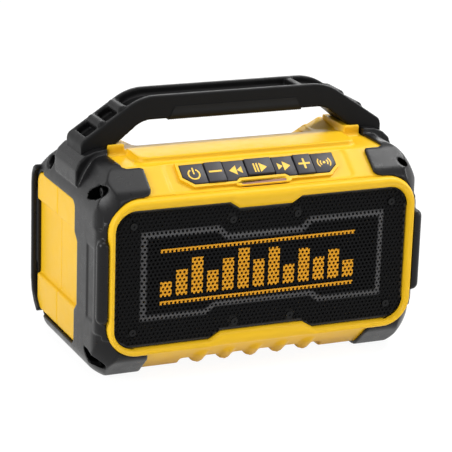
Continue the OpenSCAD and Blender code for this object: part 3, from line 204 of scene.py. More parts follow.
def studio():
    world = bpy.data.worlds.new("studio")
    SCENE.world = world
    world.use_nodes = True
    tree = world.node_tree
    light = tree.nodes["Background"]
    light.inputs["Color"].default_value = (1, 1, 1, 1)
    light.inputs["Strength"].default_value = WORLD_LIGHT
    shown = tree.nodes.new("ShaderNodeBackground")
    shown.inputs["Color"].default_value = (1, 1, 1, 1)
    shown.inputs["Strength"].default_value = 1.0
    mix = tree.nodes.new("ShaderNodeMixShader")
    tree.links.new(seen_directly(tree), mix.inputs["Fac"])
    tree.links.new(light.outputs[0], mix.inputs[1])
    tree.links.new(shown.outputs[0], mix.inputs[2])
    tree.links.new(mix.outputs[0], tree.nodes["World Output"].inputs["Surface"])

    bm = bmesh.new()
    bmesh.ops.create_grid(bm, x_segments=1, y_segments=1, size=FLOOR_SIZE)
    mesh = bpy.data.meshes.new("floor")
    bm.to_mesh(mesh)
    bm.free()
    floor = bpy.data.objects.new("floor", mesh)
    SCENE.collection.objects.link(floor)
    paint = bpy.data.materials.new("pale_floor")
    paint.use_nodes = True
    tree = paint.node_tree
    tree.nodes.remove(tree.nodes["Principled BSDF"])
    plain = tree.nodes.new("ShaderNodeBsdfDiffuse")
    plain.inputs["Color"].default_value = (FLOOR_LIT, FLOOR_LIT, FLOOR_LIT, 1)
    shade = tree.nodes.new("ShaderNodeBsdfDiffuse")
    shade.inputs["Color"].default_value = (FLOOR_SHADE, FLOOR_SHADE, FLOOR_SHADE, 1)
    glow = tree.nodes.new("ShaderNodeEmission")
    glow.inputs["Strength"].default_value = FLOOR_GLOW
    both = tree.nodes.new("ShaderNodeAddShader")
    mix = tree.nodes.new("ShaderNodeMixShader")
    tree.links.new(shade.outputs[0], both.inputs[0])
    tree.links.new(glow.outputs[0], both.inputs[1])
    tree.links.new(seen_directly(tree), mix.inputs["Fac"])
    tree.links.new(plain.outputs[0], mix.inputs[1])
    tree.links.new(both.outputs[0], mix.inputs[2])
    tree.links.new(mix.outputs[0], tree.nodes["Material Output"].inputs["Surface"])
    mesh.materials.append(paint)

    soft_box("key", (-2.6, -0.45, 1.4), (0, 0, 0.1), (1.2, 1.2), 50)
    soft_box("overhead", (0.1, -0.2, 2.3), (0, 0, 0.1), (2.0, 1.2), 20)
    soft_box("right_top", (1.4, 0.1, 1.95), (0.1, 0, 0.12), (0.7, 0.7), 25)
    soft_box("right_rim", (2.2, -0.6, 0.9), (0.1, 0, 0.12), (0.7, 1.2), 20)
    soft_box("right_back", (1.9, 1.55, 0.5), (0.1, 0, 0.12), (1.0, 0.7), 6)
    soft_box("grille_strip", (0.95, -2.1, 0.95), (0, -0.1, 0.12), (0.7, 0.22), 5)
    soft_box("back", (0.95, 2.1, 0.9), (0, 0, 0.2), (1.6, 0.5), 7)
    SCENE.view_settings.view_transform = "Standard"


# Finishes

class Finish:
    """A procedural finish: nodes on object coordinates that feed one Principled shader."""

    def __init__(self, name, colour, roughness, **sockets):
        self.material = bpy.data.materials.new(name)
        self.material.use_nodes = True
        self.tree = self.material.node_tree
        self.shader = self.tree.nodes["Principled BSDF"]
        self.shader.inputs["Base Color"].default_value = (*colour, 1)
        self.shader.inputs["Roughness"].default_value = roughness
        for socket, value in sockets.items():
            self.shader.inputs[socket.replace("_", " ")].default_value = value
        self.colour = colour
        self.roughness = roughness
        self.place = self.node("ShaderNodeTexCoord").outputs["Object"]
        self.height = None

    def node(self, kind, inputs=None, **settings):
        made = self.tree.nodes.new(kind)
        for key, value in settings.items():
            setattr(made, key, value)
        for key, value in (inputs or {}).items():
            if isinstance(value, bpy.types.NodeSocket):
                self.tree.links.new(value, made.inputs[key])
            else:
                made.inputs[key].default_value = value
        return made

    def math(self, operation, a, b=0.0, c=0.0):
        return self.node("ShaderNodeMath", {0: a, 1: b, 2: c}, operation=operation).outputs[0]

    def axis(self, name):
        return self.node("ShaderNodeSeparateXYZ", {0: self.place}).outputs[name]

    def noise(self, size, detail=2.0, stretch=(1, 1, 1)):
        """Noise whose blotches are about size millimetres across, drawn out along the axes by stretch."""
        scale = tuple(1 / (size * MM * s) for s in stretch)
        spread = self.node("ShaderNodeMapping", {"Vector": self.place, "Scale": scale})
        cloud = self.node("ShaderNodeTexNoise", {"Vector": spread.outputs[0], "Scale": 1.0, "Detail": detail})
        return cloud.outputs["Fac"]

    def band(self, value, low, high, soft=0.00005):
        """1 where value lies between low and high metres."""
        rise = self.node("ShaderNodeMapRange", {0: value, 1: low - soft, 2: low + soft})
        fall = self.node("ShaderNodeMapRange", {0: value, 1: high - soft, 2: high + soft, 3: 1.0, 4: 0.0})
        return self.math("MULTIPLY", rise.outputs[0], fall.outputs[0])

    def wave(self, axis, pitch):
        """A sine along an axis, pitch in millimetres."""
        return self.math("SINE", self.math("MULTIPLY", self.axis(axis), 2 * math.pi / (pitch * MM)))

    def full_swing(self, value):
        """Brings a value between -1 and 1 to 0 and 1."""
        return self.node("ShaderNodeMapRange", {0: value, 1: -1.0, 2: 1.0}).outputs[0]

    def tint(self, fac, other):
        """Blends the colour so far with another one."""
        mix = self.node("ShaderNodeMix", {0: fac, 7: (*other, 1)}, data_type="RGBA")
        linked = self.shader.inputs["Base Color"].links
        if linked:
            self.tree.links.new(linked[0].from_socket, mix.inputs[6])
        else:
            mix.inputs[6].default_value = (*self.colour, 1)
        self.tree.links.new(mix.outputs[2], self.shader.inputs["Base Color"])
        return self

    def uneven_gloss(self, fac, spread):
        low, high = self.roughness - spread, self.roughness + spread
        gloss = self.node("ShaderNodeMapRange", {0: fac, 1: 0.3, 2: 0.7, 3: low, 4: high})
        self.tree.links.new(gloss.outputs[0], self.shader.inputs["Roughness"])
        return self

    def relief(self, fac, depth):
        """Raises the surface by a height map, depth in millimetres."""
        bump = self.node("ShaderNodeBump", {"Height": fac, "Distance": depth * MM, "Strength": 1.0})
        if self.height:
            self.tree.links.new(self.height, bump.inputs["Normal"])
        self.height = bump.outputs[0]
        self.tree.links.new(self.height, self.shader.inputs["Normal"])
        return self


def moulded(name, colour, roughness, grain, depth, shade=0.9, **sockets):
    """Moulded plastic or rubber: fine grain (size and depth in mm), slightly uneven gloss and tone."""
    skin = Finish(name, colour, roughness, **sockets)
    tone = skin.node("ShaderNodeMapRange", {0: skin.noise(60, 3), 1: 0.35, 2: 0.65}).outputs[0]
    skin.tint(tone, tuple(c * shade for c in colour))
    skin.uneven_gloss(skin.noise(9, 4), 0.05)
    return skin.relief(skin.noise(grain, 3), depth)


def bare_metal(name, colour, roughness, stretch):
    """Bare or plated metal, brushed along the axes that stretch draws out."""
    skin = Finish(name, colour, roughness, Metallic=1.0)
    skin.tint(skin.noise(1.2, 3, stretch), tuple(c * 0.7 for c in colour))
    skin.uneven_gloss(skin.noise(2.5, 3, stretch), 0.08)
    return skin.relief(skin.noise(0.7, 2, stretch), 0.01)


def make_finishes():
    made = {
        "yellow_shell": moulded(
            "yellow_shell", (0.85, 0.505, 0.013), 0.4, 0.5, 0.012, 0.96, Specular_IOR_Level=0.22),
        "handle_plastic": moulded(
            "handle_plastic", (0.006, 0.006, 0.0062), 0.4, 0.45, 0.012, 0.8, Specular_IOR_Level=0.11),
        "grip_rubber": moulded(
            "grip_rubber", (0.008, 0.008, 0.008), 0.5, 0.4, 0.02, 0.75, Specular_IOR_Level=0.15),
        "black_plastic": moulded("black_plastic", (0.018, 0.018, 0.019), 0.5, 0.5, 0.015, 0.8),
        "key_rubber": moulded(
            "key_rubber", (0.027, 0.025, 0.03), 0.45, 0.3, 0.012, 0.85, Specular_IOR_Level=0.3),
        "cover_rubber": moulded("cover_rubber", (0.022, 0.022, 0.023), 0.6, 0.4, 0.03, 0.8),
        "latch_plastic": moulded("latch_plastic", (0.55, 0.02, 0.015), 0.42, 0.5, 0.012),
        "ferrite": moulded("ferrite", (0.03, 0.03, 0.032), 0.75, 0.8, 0.06, 0.7),
        "surround_rubber": moulded("surround_rubber", (0.012, 0.012, 0.012), 0.5, 0.4, 0.01, 0.8),
        "icon_ink": moulded("icon_ink", (0.93, 0.56, 0.03), 0.45, 0.3, 0.008, 0.95),
        "basket_metal": moulded("basket_metal", (0.03, 0.03, 0.032), 0.4, 0.6, 0.02, 0.8, Metallic=0.6),
        "gloss_black": moulded(
            "gloss_black", (0.003, 0.003, 0.0032), 0.22, 0.6, 0.005, 0.8, Specular_IOR_Level=0.2),
        "screw_steel": bare_metal("screw_steel", (0.42, 0.42, 0.44), 0.35, (1, 1, 1)),
        "black_screw": bare_metal("black_screw", (0.03, 0.03, 0.031), 0.35, (1, 1, 1)),
        "yoke_steel": bare_metal("yoke_steel", (0.5, 0.49, 0.46), 0.32, (6, 1, 6)),
        "sink_metal": bare_metal("sink_metal", (0.62, 0.63, 0.65), 0.38, (1, 1, 14)),
        "contact_brass": bare_metal("contact_brass", (0.72, 0.5, 0.18), 0.3, (1, 1, 10)),
    }

    window = Finish("light_window", (0.3, 0.145, 0.105), 0.4, Specular_IOR_Level=0.15)
    window.tint(window.noise(6, 2, (6, 1, 1)), (0.36, 0.19, 0.14))
    made["light_window"] = window.relief(window.noise(3, 1), 0.01)

    cloth = Finish("black_cloth", (0.006, 0.006, 0.006), 0.95)
    weave = cloth.math("MULTIPLY", cloth.wave("X", 0.8), cloth.wave("Z", 0.8))
    cloth.tint(cloth.full_swing(weave), (0.012, 0.012, 0.012))
    made["black_cloth"] = cloth.relief(weave, 0.1)

    made["grille_metal"] = grille_paint()

    rubber = moulded("guard_rubber", (0.007, 0.0069, 0.0074), 0.3, 0.55, 0.03, 0.8)
    # Painted shade: the well mask darkens the rubber inside the screw wells nearly to black and takes away
    # its reflection there.
    well = rubber.node("ShaderNodeAttribute", attribute_name="well").outputs["Fac"]
    rubber.tint(well, (0.0005, 0.0005, 0.0005))
    well_shade_specular = rubber.node("ShaderNodeMapRange", {0: well, 3: 0.2, 4: 0.0}).outputs[0]
    rubber.tree.links.new(well_shade_specular, rubber.shader.inputs["Specular IOR Level"])
    made["guard_rubber"] = rubber

    board = Finish("circuit_board", (0.01, 0.07, 0.028), 0.35, Coat_Weight=0.5)
    upright = board.node("ShaderNodeMapping", {"Vector": board.place, "Rotation": (math.pi / 2, 0, 0)})
    tracks = board.node("ShaderNodeTexBrick", {
        "Vector": upright.outputs[0],
        "Scale": 1 / (6 * MM), "Mortar Size": 0.03, "Brick Width": 0.9, "Row Height": 0.35,
    }).outputs["Fac"]
    board.tint(tracks, (0.03, 0.14, 0.05))
    board.tint(board.band(board.noise(3, 0), 0.62, 0.9, 0.01), (0.4, 0.36, 0.28))
    made["circuit_board"] = board.relief(tracks, 0.04)

    spider = Finish("spider_fabric", (0.5, 0.33, 0.1), 0.9)
    weave = spider.wave("X", 1.1)
    spider.tint(spider.full_swing(weave), (0.36, 0.23, 0.07))
    made["spider_fabric"] = spider.relief(weave, 0.1)

    cone = Finish("cone_paper", (0.02, 0.02, 0.021), 0.8)
    cone.tint(cone.noise(1.5, 4, (3, 1, 1)), (0.035, 0.034, 0.033))
    made["cone_paper"] = cone.relief(cone.noise(1.2, 4), 0.08)

    coil = Finish("coil_copper", (0.62, 0.24, 0.09), 0.3, Metallic=1.0)
    turns = coil.wave("Y", 0.5)
    coil.tint(coil.full_swing(turns), (0.4, 0.14, 0.05))
    made["coil_copper"] = coil.relief(turns, 0.1)

    can = Finish("capacitor_can", (0.012, 0.014, 0.05), 0.35)
    can.tint(can.band(can.axis("Z"), 0.076, 0.12, 0.0001), (0.35, 0.36, 0.4))
    made["capacitor_can"] = can.relief(can.noise(1, 2), 0.01)

    cell = Finish("cell_can", (0.03, 0.16, 0.34), 0.4, Coat_Weight=0.3)
    cell.tint(cell.noise(14, 2), (0.02, 0.11, 0.25))
    cell.tint(cell.band(cell.axis("X"), -0.029, -0.026), (0.6, 0.6, 0.62))
    made["cell_can"] = cell.relief(cell.noise(2, 2), 0.02)
    return {name: skin.material for name, skin in made.items()}


def grille_paint():
    """Black powder coat with a plain row of equaliser bars in yellow paint, and a painted highlight that
    lightens the embossed slopes.
    """
    skin = Finish("grille_metal", (0.003, 0.003, 0.0033), 0.3, Specular_IOR_Level=0.08)
    skin.tint(skin.noise(25, 3), (0.0045, 0.0045, 0.005))
    x, z = skin.axis("X"), skin.axis("Z")
    paint = None
    for i, tall in enumerate(BAR_HEIGHTS):
        left = BAR_FIRST + i * BAR_PITCH
        bar = skin.math("MULTIPLY", skin.band(x, left * MM, (left + BAR_WIDE) * MM),
                        skin.band(z, BAR_FOOT * MM, (BAR_FOOT + tall) * MM))
        paint = bar if paint is None else skin.math("MAXIMUM", paint, bar)
    last = BAR_FIRST + (len(BAR_HEIGHTS) - 1) * BAR_PITCH + BAR_WIDE
    across = skin.band(x, BAR_FIRST * MM, last * MM)
    for low in LINE_FEET:
        line = skin.math("MULTIPLY", across, skin.band(z, low * MM, (low + LINE_TALL) * MM))
        paint = skin.math("MAXIMUM", paint, line)
    skin.tint(paint, (0.72, 0.33, 0.02))
    # Painted highlight: the slopes of the embossed middle are lightened to grey.
    painted_slope_highlight = skin.node("ShaderNodeAttribute", attribute_name="painted_slope_highlight").outputs["Fac"]
    skin.tint(skin.math("MULTIPLY", painted_slope_highlight, 0.9), (0.085, 0.085, 0.088))
    skin.uneven_gloss(skin.noise(6, 3), 0.05)
    return skin.relief(skin.noise(0.6, 2), 0.012)


# Making pieces

def finished(piece, slot, body=ROOT, replaces=(), finish=None):
    """Gives a piece its finish, its body and the nodes that it stands for."""
    piece.data.materials.clear()
    piece.data.materials.append(FINISH[finish or slot])
    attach(piece, body)
    if replaces:
        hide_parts(*replaces)
    return piece


def piece_from(name, bm, angle=35):
    """Makes an object of a bmesh, smooth except at edges sharper than angle."""
    mesh = bpy.data.meshes.new(name)
    bm.to_mesh(mesh)
    bm.free()
    mesh.shade_smooth()
    mesh.set_sharp_from_angle(angle=math.radians(angle))
    piece = bpy.data.objects.new(name, mesh)
    SCENE.collection.objects.link(piece)
    return piece


def node_copy(*names, shift=()):
    """A merged copy of CAD nodes, each moved by its shift in millimetres."""
    bm = bmesh.new()
    for i, name in enumerate(names):
        start = len(bm.verts)
        bm.from_mesh(NODE[name].data)
        bm.verts.ensure_lookup_table()
        if i < len(shift):
            bmesh.ops.translate(bm, verts=bm.verts[start:], vec=Vector(shift[i]) * MM)
    bmesh.ops.remove_doubles(bm, verts=bm.verts, dist=2e-6)
    return bm


def settled(piece):
    """Applies the modifiers of a piece."""
    shape = bpy.data.meshes.new_from_object(piece.evaluated_get(bpy.context.evaluated_depsgraph_get()))
    piece.modifiers.clear()
    old, piece.data = piece.data, shape
    bpy.data.meshes.remove(old)
    return piece


def cut_away(piece, cutter):
    """Cuts the form of a bmesh out of a piece."""
    tool = piece_from("cutter", cutter)
    cut = piece.modifiers.new("cut", "BOOLEAN")
    cut.object = tool
    cut.operation = "DIFFERENCE"
    cut.solver = "EXACT"
    settled(piece)
    mesh = tool.data
    bpy.data.objects.remove(tool)
    bpy.data.meshes.remove(mesh)
    return piece


def block(x, y, z):
    """A box between two X, two Y and two Z values in millimetres."""
    bm = bmesh.new()
    bmesh.ops.create_cube(bm, size=1)
    size = (x[1] - x[0], y[1] - y[0], z[1] - z[0])
    middle = ((x[0] + x[1]) / 2, (y[0] + y[1]) / 2, (z[0] + z[1]) / 2)
    bmesh.ops.scale(bm, verts=bm.verts, vec=Vector(size) * MM)
    bmesh.ops.translate(bm, verts=bm.verts, vec=Vector(middle) * MM)
    return bm


def softened(piece, grid, rounds, share, shape=None):
    """Rounds every edge of a piece: a fine even mesh, shaped, relaxed, then thinned where it is flat."""
    even = piece.modifiers.new("even", "REMESH")
    even.mode = "VOXEL"
    even.voxel_size = grid * MM
    even.use_smooth_shade = True
    if shape:
        shape(settled(piece))
    relax = piece.modifiers.new("relax", "SMOOTH")
    relax.factor = 0.5
    relax.iterations = rounds
    thin = piece.modifiers.new("thin", "DECIMATE")
    thin.ratio = share
    settled(piece)
    piece.data.shade_smooth()
    return piece


def verts_of(geom):
    return [g for g in geom if isinstance(g, bmesh.types.BMVert)]


def edges_of(geom):
    return [g for g in geom if isinstance(g, bmesh.types.BMEdge)]


def bevelled(bm, width, angle=30):
    """Merges flat areas and rounds the edges sharper than angle, width in millimetres."""
    bmesh.ops.dissolve_limit(bm, angle_limit=math.radians(1), verts=bm.verts, edges=bm.edges)
    sharp = [e for e in bm.edges if e.is_manifold and e.calc_face_angle(0) > math.radians(angle)]
    bmesh.ops.bevel(bm, geom=sharp, offset=width * MM, affect="EDGES", segments=3, profile=0.5,
                    material=-1, clamp_overlap=True)
    return bm


# Housing, guards and handle

def housing():
    front = piece_from("housing_front_skin", node_copy("front_housing"))
    cut_away(front, block((-170, 170), (-120, FACE_Y - 0.01), (-10, 260)))
    softened(front, 1.3, 3, 0.4)
    finished(front, "yellow_shell", replaces=["front_housing"])
    rear = softened(piece_from("housing_rear_skin", node_copy("rear_housing")), 1.3, 3, 0.4)
    finished(rear, "yellow_shell", replaces=["rear_housing"])


def rear_ramps():
    """The ramps that rise from behind the deck to the handle's feet."""
    for name, end in (("left_rear_ramp", -1), ("right_rear_ramp", 1)):
        bm = bmesh.new()
        for x, y, z in RAMP:
            bm.verts.new(Vector((end * x, y, z)) * MM)
        made = bmesh.ops.convex_hull(bm, input=bm.verts)
        bmesh.ops.delete(bm, geom=made["geom_interior"] + made["geom_unused"], context="VERTS")
        bmesh.ops.recalc_face_normals(bm, faces=bm.faces)
        finished(piece_from(name, bevelled(bm, 1.5, 12), 50), "yellow_shell")


def well_place(middle, long, wide, axis):
    """The frame of a well's mouth: half length, half width and axis, in millimetres."""
    place = Matrix((long, wide, axis)).transposed().to_4x4()
    place.translation = middle
    return place


def well_mouth(middle, long, wide, axis, deep, slant):
    """A slightly tapered oval cutter that opens a screw well at the guard's front corner."""
    bm = bmesh.new()
    foot, mouth = WELL_TAPER
    bmesh.ops.create_cone(bm, cap_ends=True, segments=40, radius1=foot, radius2=mouth, depth=deep + WELL_OUT)
    bmesh.ops.translate(bm, verts=bm.verts, vec=(0, 0, (WELL_OUT - deep) / 2))
    for v in bm.verts:
        if v.co.z < 0:
            v.co.z += slant * v.co.x
    place = Matrix.Scale(MM, 4) @ well_place(middle, long, wide, axis)
    bmesh.ops.transform(bm, matrix=place, verts=bm.verts)
    bmesh.ops.recalc_face_normals(bm, faces=bm.faces)
    return bm


def shape_guard(guard):
    """Rounds the guard's corners to spheres and its tongue's end, and sets the rear bumper back."""
    slope = BROW.inverted()
    for v in guard.data.vertices:
        for (x, y, z), r, rear in CORNER_BALLS:
            middle = Vector((math.copysign(x, v.co.x), math.copysign(y, v.co.y), z)) * MM
            away = v.co - middle
            outward = away.x * middle.x > 0 and away.y * middle.y > 0 and away.z * (z - MID_HEIGHT) > 0
            if outward and (rear or v.co.y < 0) and away.length > r * MM:
                v.co = middle + away.normalized() * r * MM
        on_brow = slope @ v.co
        for x, up, r, towards in TONGUE_ENDS:
            across = abs(on_brow.x) / MM - x
            along = (on_brow.y / MM - up) * towards
            far = math.hypot(across, along)
            if across < 0 < along and far > r and abs(on_brow.z) < TONGUE_THICK * MM and v.co.y < 0:
                on_brow.x = math.copysign((x + across * r / far) * MM, v.co.x)
                on_brow.y = (up + towards * along * r / far) * MM
                v.co = BROW @ on_brow
        if v.co.y > REAR_FROM * MM and abs(v.co.x) > REAR_BUMPER_X * MM:
            beyond = abs(v.co.x) - REAR_BUMPER_X * MM
            v.co.x = math.copysign(REAR_BUMPER_X * MM + beyond * REAR_BUMPER_SHARE, v.co.x)


def paint_well_shade(guard, mouths):
    """Paints shade into the inside of the wells: a mask by which the guard's finish darkens the rubber there
    and takes away its reflection.
    """
    shade_marks = guard.data.attributes.new("well", "FLOAT", "POINT")
    for *place, deep, slant in mouths:
        into = well_place(*place).inverted()
        for v, shade_mark in zip(guard.data.vertices, shade_marks.data):
            at = into @ (v.co / MM)
            if -deep - slant - WELL_SHADE_BELOW < at.z < WELL_OUT:
                shade_mark.value = max(shade_mark.value, min(1.0, (1.0 - math.hypot(at.x, at.y)) / WELL_SHADE_FADE))


def guards():
    for side, end in (("left", -1), ("right", 1)):
        bm = node_copy(f"{side}_end_guard")
        corners = [
            bm.verts.new(Vector((end * x, y, z)) * MM) for x, z in SADDLE for y in (-SADDLE_HALF, SADDLE_HALF)
        ]
        bmesh.ops.convex_hull(bm, input=corners)
        bmesh.ops.recalc_face_normals(bm, faces=bm.faces)
        guard = piece_from(f"{side}_guard_skin", bm)
        for mouth in WELL_MOUTHS[side]:
            cut_away(guard, well_mouth(*mouth))
        softened(guard, 1.05, 6, 0.5, shape_guard)
        paint_well_shade(guard, WELL_MOUTHS[side])
        finished(guard, "guard_rubber", replaces=[f"{side}_end_guard"])


def rear_rims():
    """The black band of each guard that edges the end panel at the rear."""
    for side, end in (("left", -1), ("right", 1)):
        bm = bmesh.new()
        rings = []
        for i, (y, z) in enumerate(RIM_PATH):
            before, after = RIM_PATH[max(i - 1, 0)], RIM_PATH[min(i + 1, len(RIM_PATH) - 1)]
            along = Vector((0, after[0] - before[0], after[1] - before[1])).normalized()
            across = Vector((0, along.z, -along.y)) * RIM_HALF
            middle = Vector((0, y, z))
            rings.append([
                bm.verts.new((Vector((end * x, 0, 0)) + middle + across * way) * MM)
                for x, way in ((RIM_X[0], -1), (RIM_X[0], 1), (RIM_X[1], 1), (RIM_X[1], -1))
            ])
        for one, two in zip(rings, rings[1:]):
            for k in range(4):
                bm.faces.new((one[k - 1], one[k], two[k], two[k - 1]))
        for ring in (rings[0], rings[-1]):
            bm.faces.new(ring)
        bmesh.ops.recalc_face_normals(bm, faces=bm.faces)
        finished(piece_from(f"{side}_rear_rim", bevelled(bm, 1.4, 50), 50), "guard_rubber")


def handle():
    bm = node_copy("handle_front_shell", "handle_rear_shell", shift=((0, 0, 0), (0, -0.4, 0)))
    for x, z in KNUCKLES:
        for end in (-1, 1):
            place = Matrix.Translation(Vector((end * x, 0, z)) * MM) @ Matrix.Rotation(math.pi / 2, 4, "X")
            bmesh.ops.create_cone(bm, cap_ends=True, segments=28, radius1=KNUCKLE_R * MM,
                                  radius2=KNUCKLE_R * MM, depth=2 * KNUCKLE_HALF * MM, matrix=place)
    arch = softened(piece_from("handle_arch", bm), 1.0, 10, 0.45)
    finished(arch, "handle_plastic", replaces=["handle_front_shell", "handle_rear_shell"])


def grip():
    """The rubber sleeve under the bar: a smooth band above fine upright ribs, with slanting ends."""
    low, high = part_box("handle_grip")
    half, bottom, top = high[0] / MM, low[2] / MM, high[2] / MM
    deep, rib, pitch, slant = high[1] / MM - 0.5, 0.5, 2.2, 0.55
    section = [
        (-deep, top, 0), (-deep, bottom + 7.4, 0), (-deep, bottom + 6.8, 1), (-deep, bottom + 2.4, 1),
        (-deep + 1.8, bottom + rib, 1), (deep - 1.8, bottom + rib, 1), (deep, bottom + 2.4, 1),
        (deep, bottom + 5.2, 0), (deep - 2.0, bottom + 5.2, 0), (deep - 2.0, bottom + 3.0, 0),
        (-deep + 2.0, bottom + 3.0, 0), (-deep + 2.0, top, 0),
    ]
    steps = int(2 * half / pitch * 2)
    bm = bmesh.new()
    ring = [bm.verts.new((0, 0, 0)) for _ in section]
    edges = [bm.edges.new((ring[i - 1], ring[i])) for i in range(len(ring))]
    rings = [ring]
    for _ in range(steps):
        grown = bmesh.ops.extrude_edge_only(bm, edges=edges)["geom"]
        edges = edges_of(grown)
        rings.append(verts_of(grown))
    for k, ring in enumerate(rings):
        share = 2 * k / steps - 1
        proud = rib if k % 2 else 0
        for v, (y, z, ribbed) in zip(ring, section):
            out = proud * ribbed
            side = math.copysign(out, y) if z > bottom + 1 else 0
            drop = out if z < bottom + 1 else 0
            v.co = Vector((share * (half - slant * (z - bottom)), y + side, z - drop)) * MM
    for ring in (rings[0], rings[-1]):
        bmesh.ops.contextual_create(bm, geom=ring)
    bmesh.ops.recalc_face_normals(bm, faces=bm.faces)
    finished(piece_from("grip_sleeve", bm, 50), "grip_rubber", replaces=["handle_grip"])


# Bezel and grille

def arc(cx, cz, r, start, steps=10):
    """Points of a quarter circle from the angle start."""
    angles = [math.radians(start + 90 * i / steps) for i in range(steps + 1)]
    return [(cx + r * math.cos(a), cz + r * math.sin(a)) for a in angles]


def round_outline(shape, grow, notched=False):
    """Points of a rounded frame, counter-clockwise from its right side; notched above and below if asked."""
    half, r = shape["half"] + grow, shape["r"] + grow
    low, high = shape["low"] - grow, shape["high"] + grow
    t, b = NOTCH_TOP, NOTCH_LOW
    top_drop, low_rise = (t[2], b[2]) if notched else (0, 0)
    return (
        arc(half - r, high - r, r, 0)
        + [(t[1], high), (t[0], high - top_drop), (-t[0], high - top_drop), (-t[1], high)]
        + arc(-half + r, high - r, r, 90)
        + arc(-half + r, low + r, r, 180)
        + [(-b[1], low), (-b[0], low + low_rise), (b[0], low + low_rise), (b[1], low)]
        + arc(half - r, low + r, r, 270)
    )


def outline_edges(bm, points, y):
    """A closed ring of edges through (X, Z) points on the plane Y = y."""
    ring = [bm.verts.new((x * MM, y * MM, z * MM)) for x, z in points]
    return ring, [bm.edges.new((ring[i - 1], ring[i])) for i in range(len(ring))]


def bezel():
    """The raised frame round the grille, with a rounded section."""
    outer = round_outline(BEZEL, 0)
    inner = round_outline(GRILLE, 0.3, notched=True)
    section = [
        (0, -0.4), (0, 3.2), (0.04, 4.8), (0.12, 6.3), (0.24, 7.4), (0.38, 7.95),
        (0.52, 7.9), (0.66, 7.3), (0.8, 6.2), (0.92, 4.6), (1, 2.6), (1, -0.4),
    ]
    bm = bmesh.new()
    first, edges = outline_edges(bm, outer, FACE_Y - section[0][1])
    for share, rise in section[1:]:
        grown = bmesh.ops.extrude_edge_only(bm, edges=edges)["geom"]
        edges = edges_of(grown)
        for v, o, i in zip(verts_of(grown), outer, inner):
            v.co = Vector((o[0] + (i[0] - o[0]) * share, FACE_Y - rise, o[1] + (i[1] - o[1]) * share)) * MM
    bmesh.ops.bridge_loops(bm, edges=edges + [e for e in bm.edges if all(v in first for v in e.verts)])
    bmesh.ops.recalc_face_normals(bm, faces=bm.faces)
    finished(piece_from("bezel_frame", bm, 60), "yellow_shell")


def edge_distance(point, outline):
    """Distance of a point from a closed outline, positive inside."""
    best, inside = 1e9, False
    px, pz = point
    for i, (bx, bz) in enumerate(outline):
        ax, az = outline[i - 1]
        if (az > pz) != (bz > pz) and px < ax + (pz - az) / (bz - az) * (bx - ax):
            inside = not inside
        dx, dz = bx - ax, bz - az
        length = dx * dx + dz * dz
        t = 0 if length == 0 else max(0, min(1, ((px - ax) * dx + (pz - az) * dz) / length))
        best = min(best, math.hypot(px - ax - t * dx, pz - az - t * dz))
    return best if inside else -best


def hole_grid():
    """The sheet of holes: two staggered cells, repeated over the whole grille."""
    corner = HOLE_PITCH / math.sqrt(3)
    unit = bmesh.new()
    for cx, cz in ((0, 0), (HOLE_PITCH / 2, HOLE_ROW)):
        place = (Matrix.Translation(((HOLE_ORIGIN[0] + cx) * MM, 0, (HOLE_ORIGIN[1] + cz) * MM))
                 @ Matrix.Rotation(math.pi / 2, 4, "X"))
        cell = bmesh.ops.create_circle(unit, segments=12, radius=corner * MM)["verts"]
        middles = [v for v in cell if round(math.degrees(math.atan2(v.co.x, v.co.y)) / 30) % 2]
        bmesh.ops.scale(unit, verts=middles, vec=[math.cos(math.pi / 6)] * 3)
        bore = bmesh.ops.create_circle(unit, segments=12, radius=HOLE_R * MM)["verts"]
        ring = list({e for v in cell + bore for e in v.link_edges})
        bmesh.ops.bridge_loops(unit, edges=ring)
        bmesh.ops.transform(unit, matrix=place, verts=cell + bore)
    sheet = piece_from("perforated_grille", unit)
    for count, step in ((HOLE_COLUMNS, (HOLE_PITCH, 0, 0)), (HOLE_ROW_PAIRS, (0, 0, 2 * HOLE_ROW))):
        spread = sheet.modifiers.new("spread", "ARRAY")
        spread.count = count
        spread.use_relative_offset = False
        spread.use_constant_offset = True
        spread.constant_offset_displace = Vector(step) * MM
    return settled(sheet)


def hole_centre(cell):
    """The middle of a hole, by its column and row, in X and Z millimetres."""
    column, row = cell
    return (HOLE_ORIGIN[0] + column * HOLE_PITCH + (row % 2) * HOLE_PITCH / 2,
            HOLE_ORIGIN[1] + row * HOLE_ROW)


def flat(co):
    """A point of the sheet as X and Z millimetres."""
    return co.x / MM, co.z / MM


def nearest_hole(co):
    """Column and row of the hole next to a point of the sheet."""
    x, z = flat(co)
    j = round((z - HOLE_ORIGIN[1]) / HOLE_ROW)
    i = round((x - HOLE_ORIGIN[0] - (j % 2) * HOLE_PITCH / 2) / HOLE_PITCH)
    around = ((a, b) for b in (j - 1, j, j + 1) for a in (i - 1, i, i + 1))
    return min(around, key=lambda cell: math.dist((x, z), hole_centre(cell)))


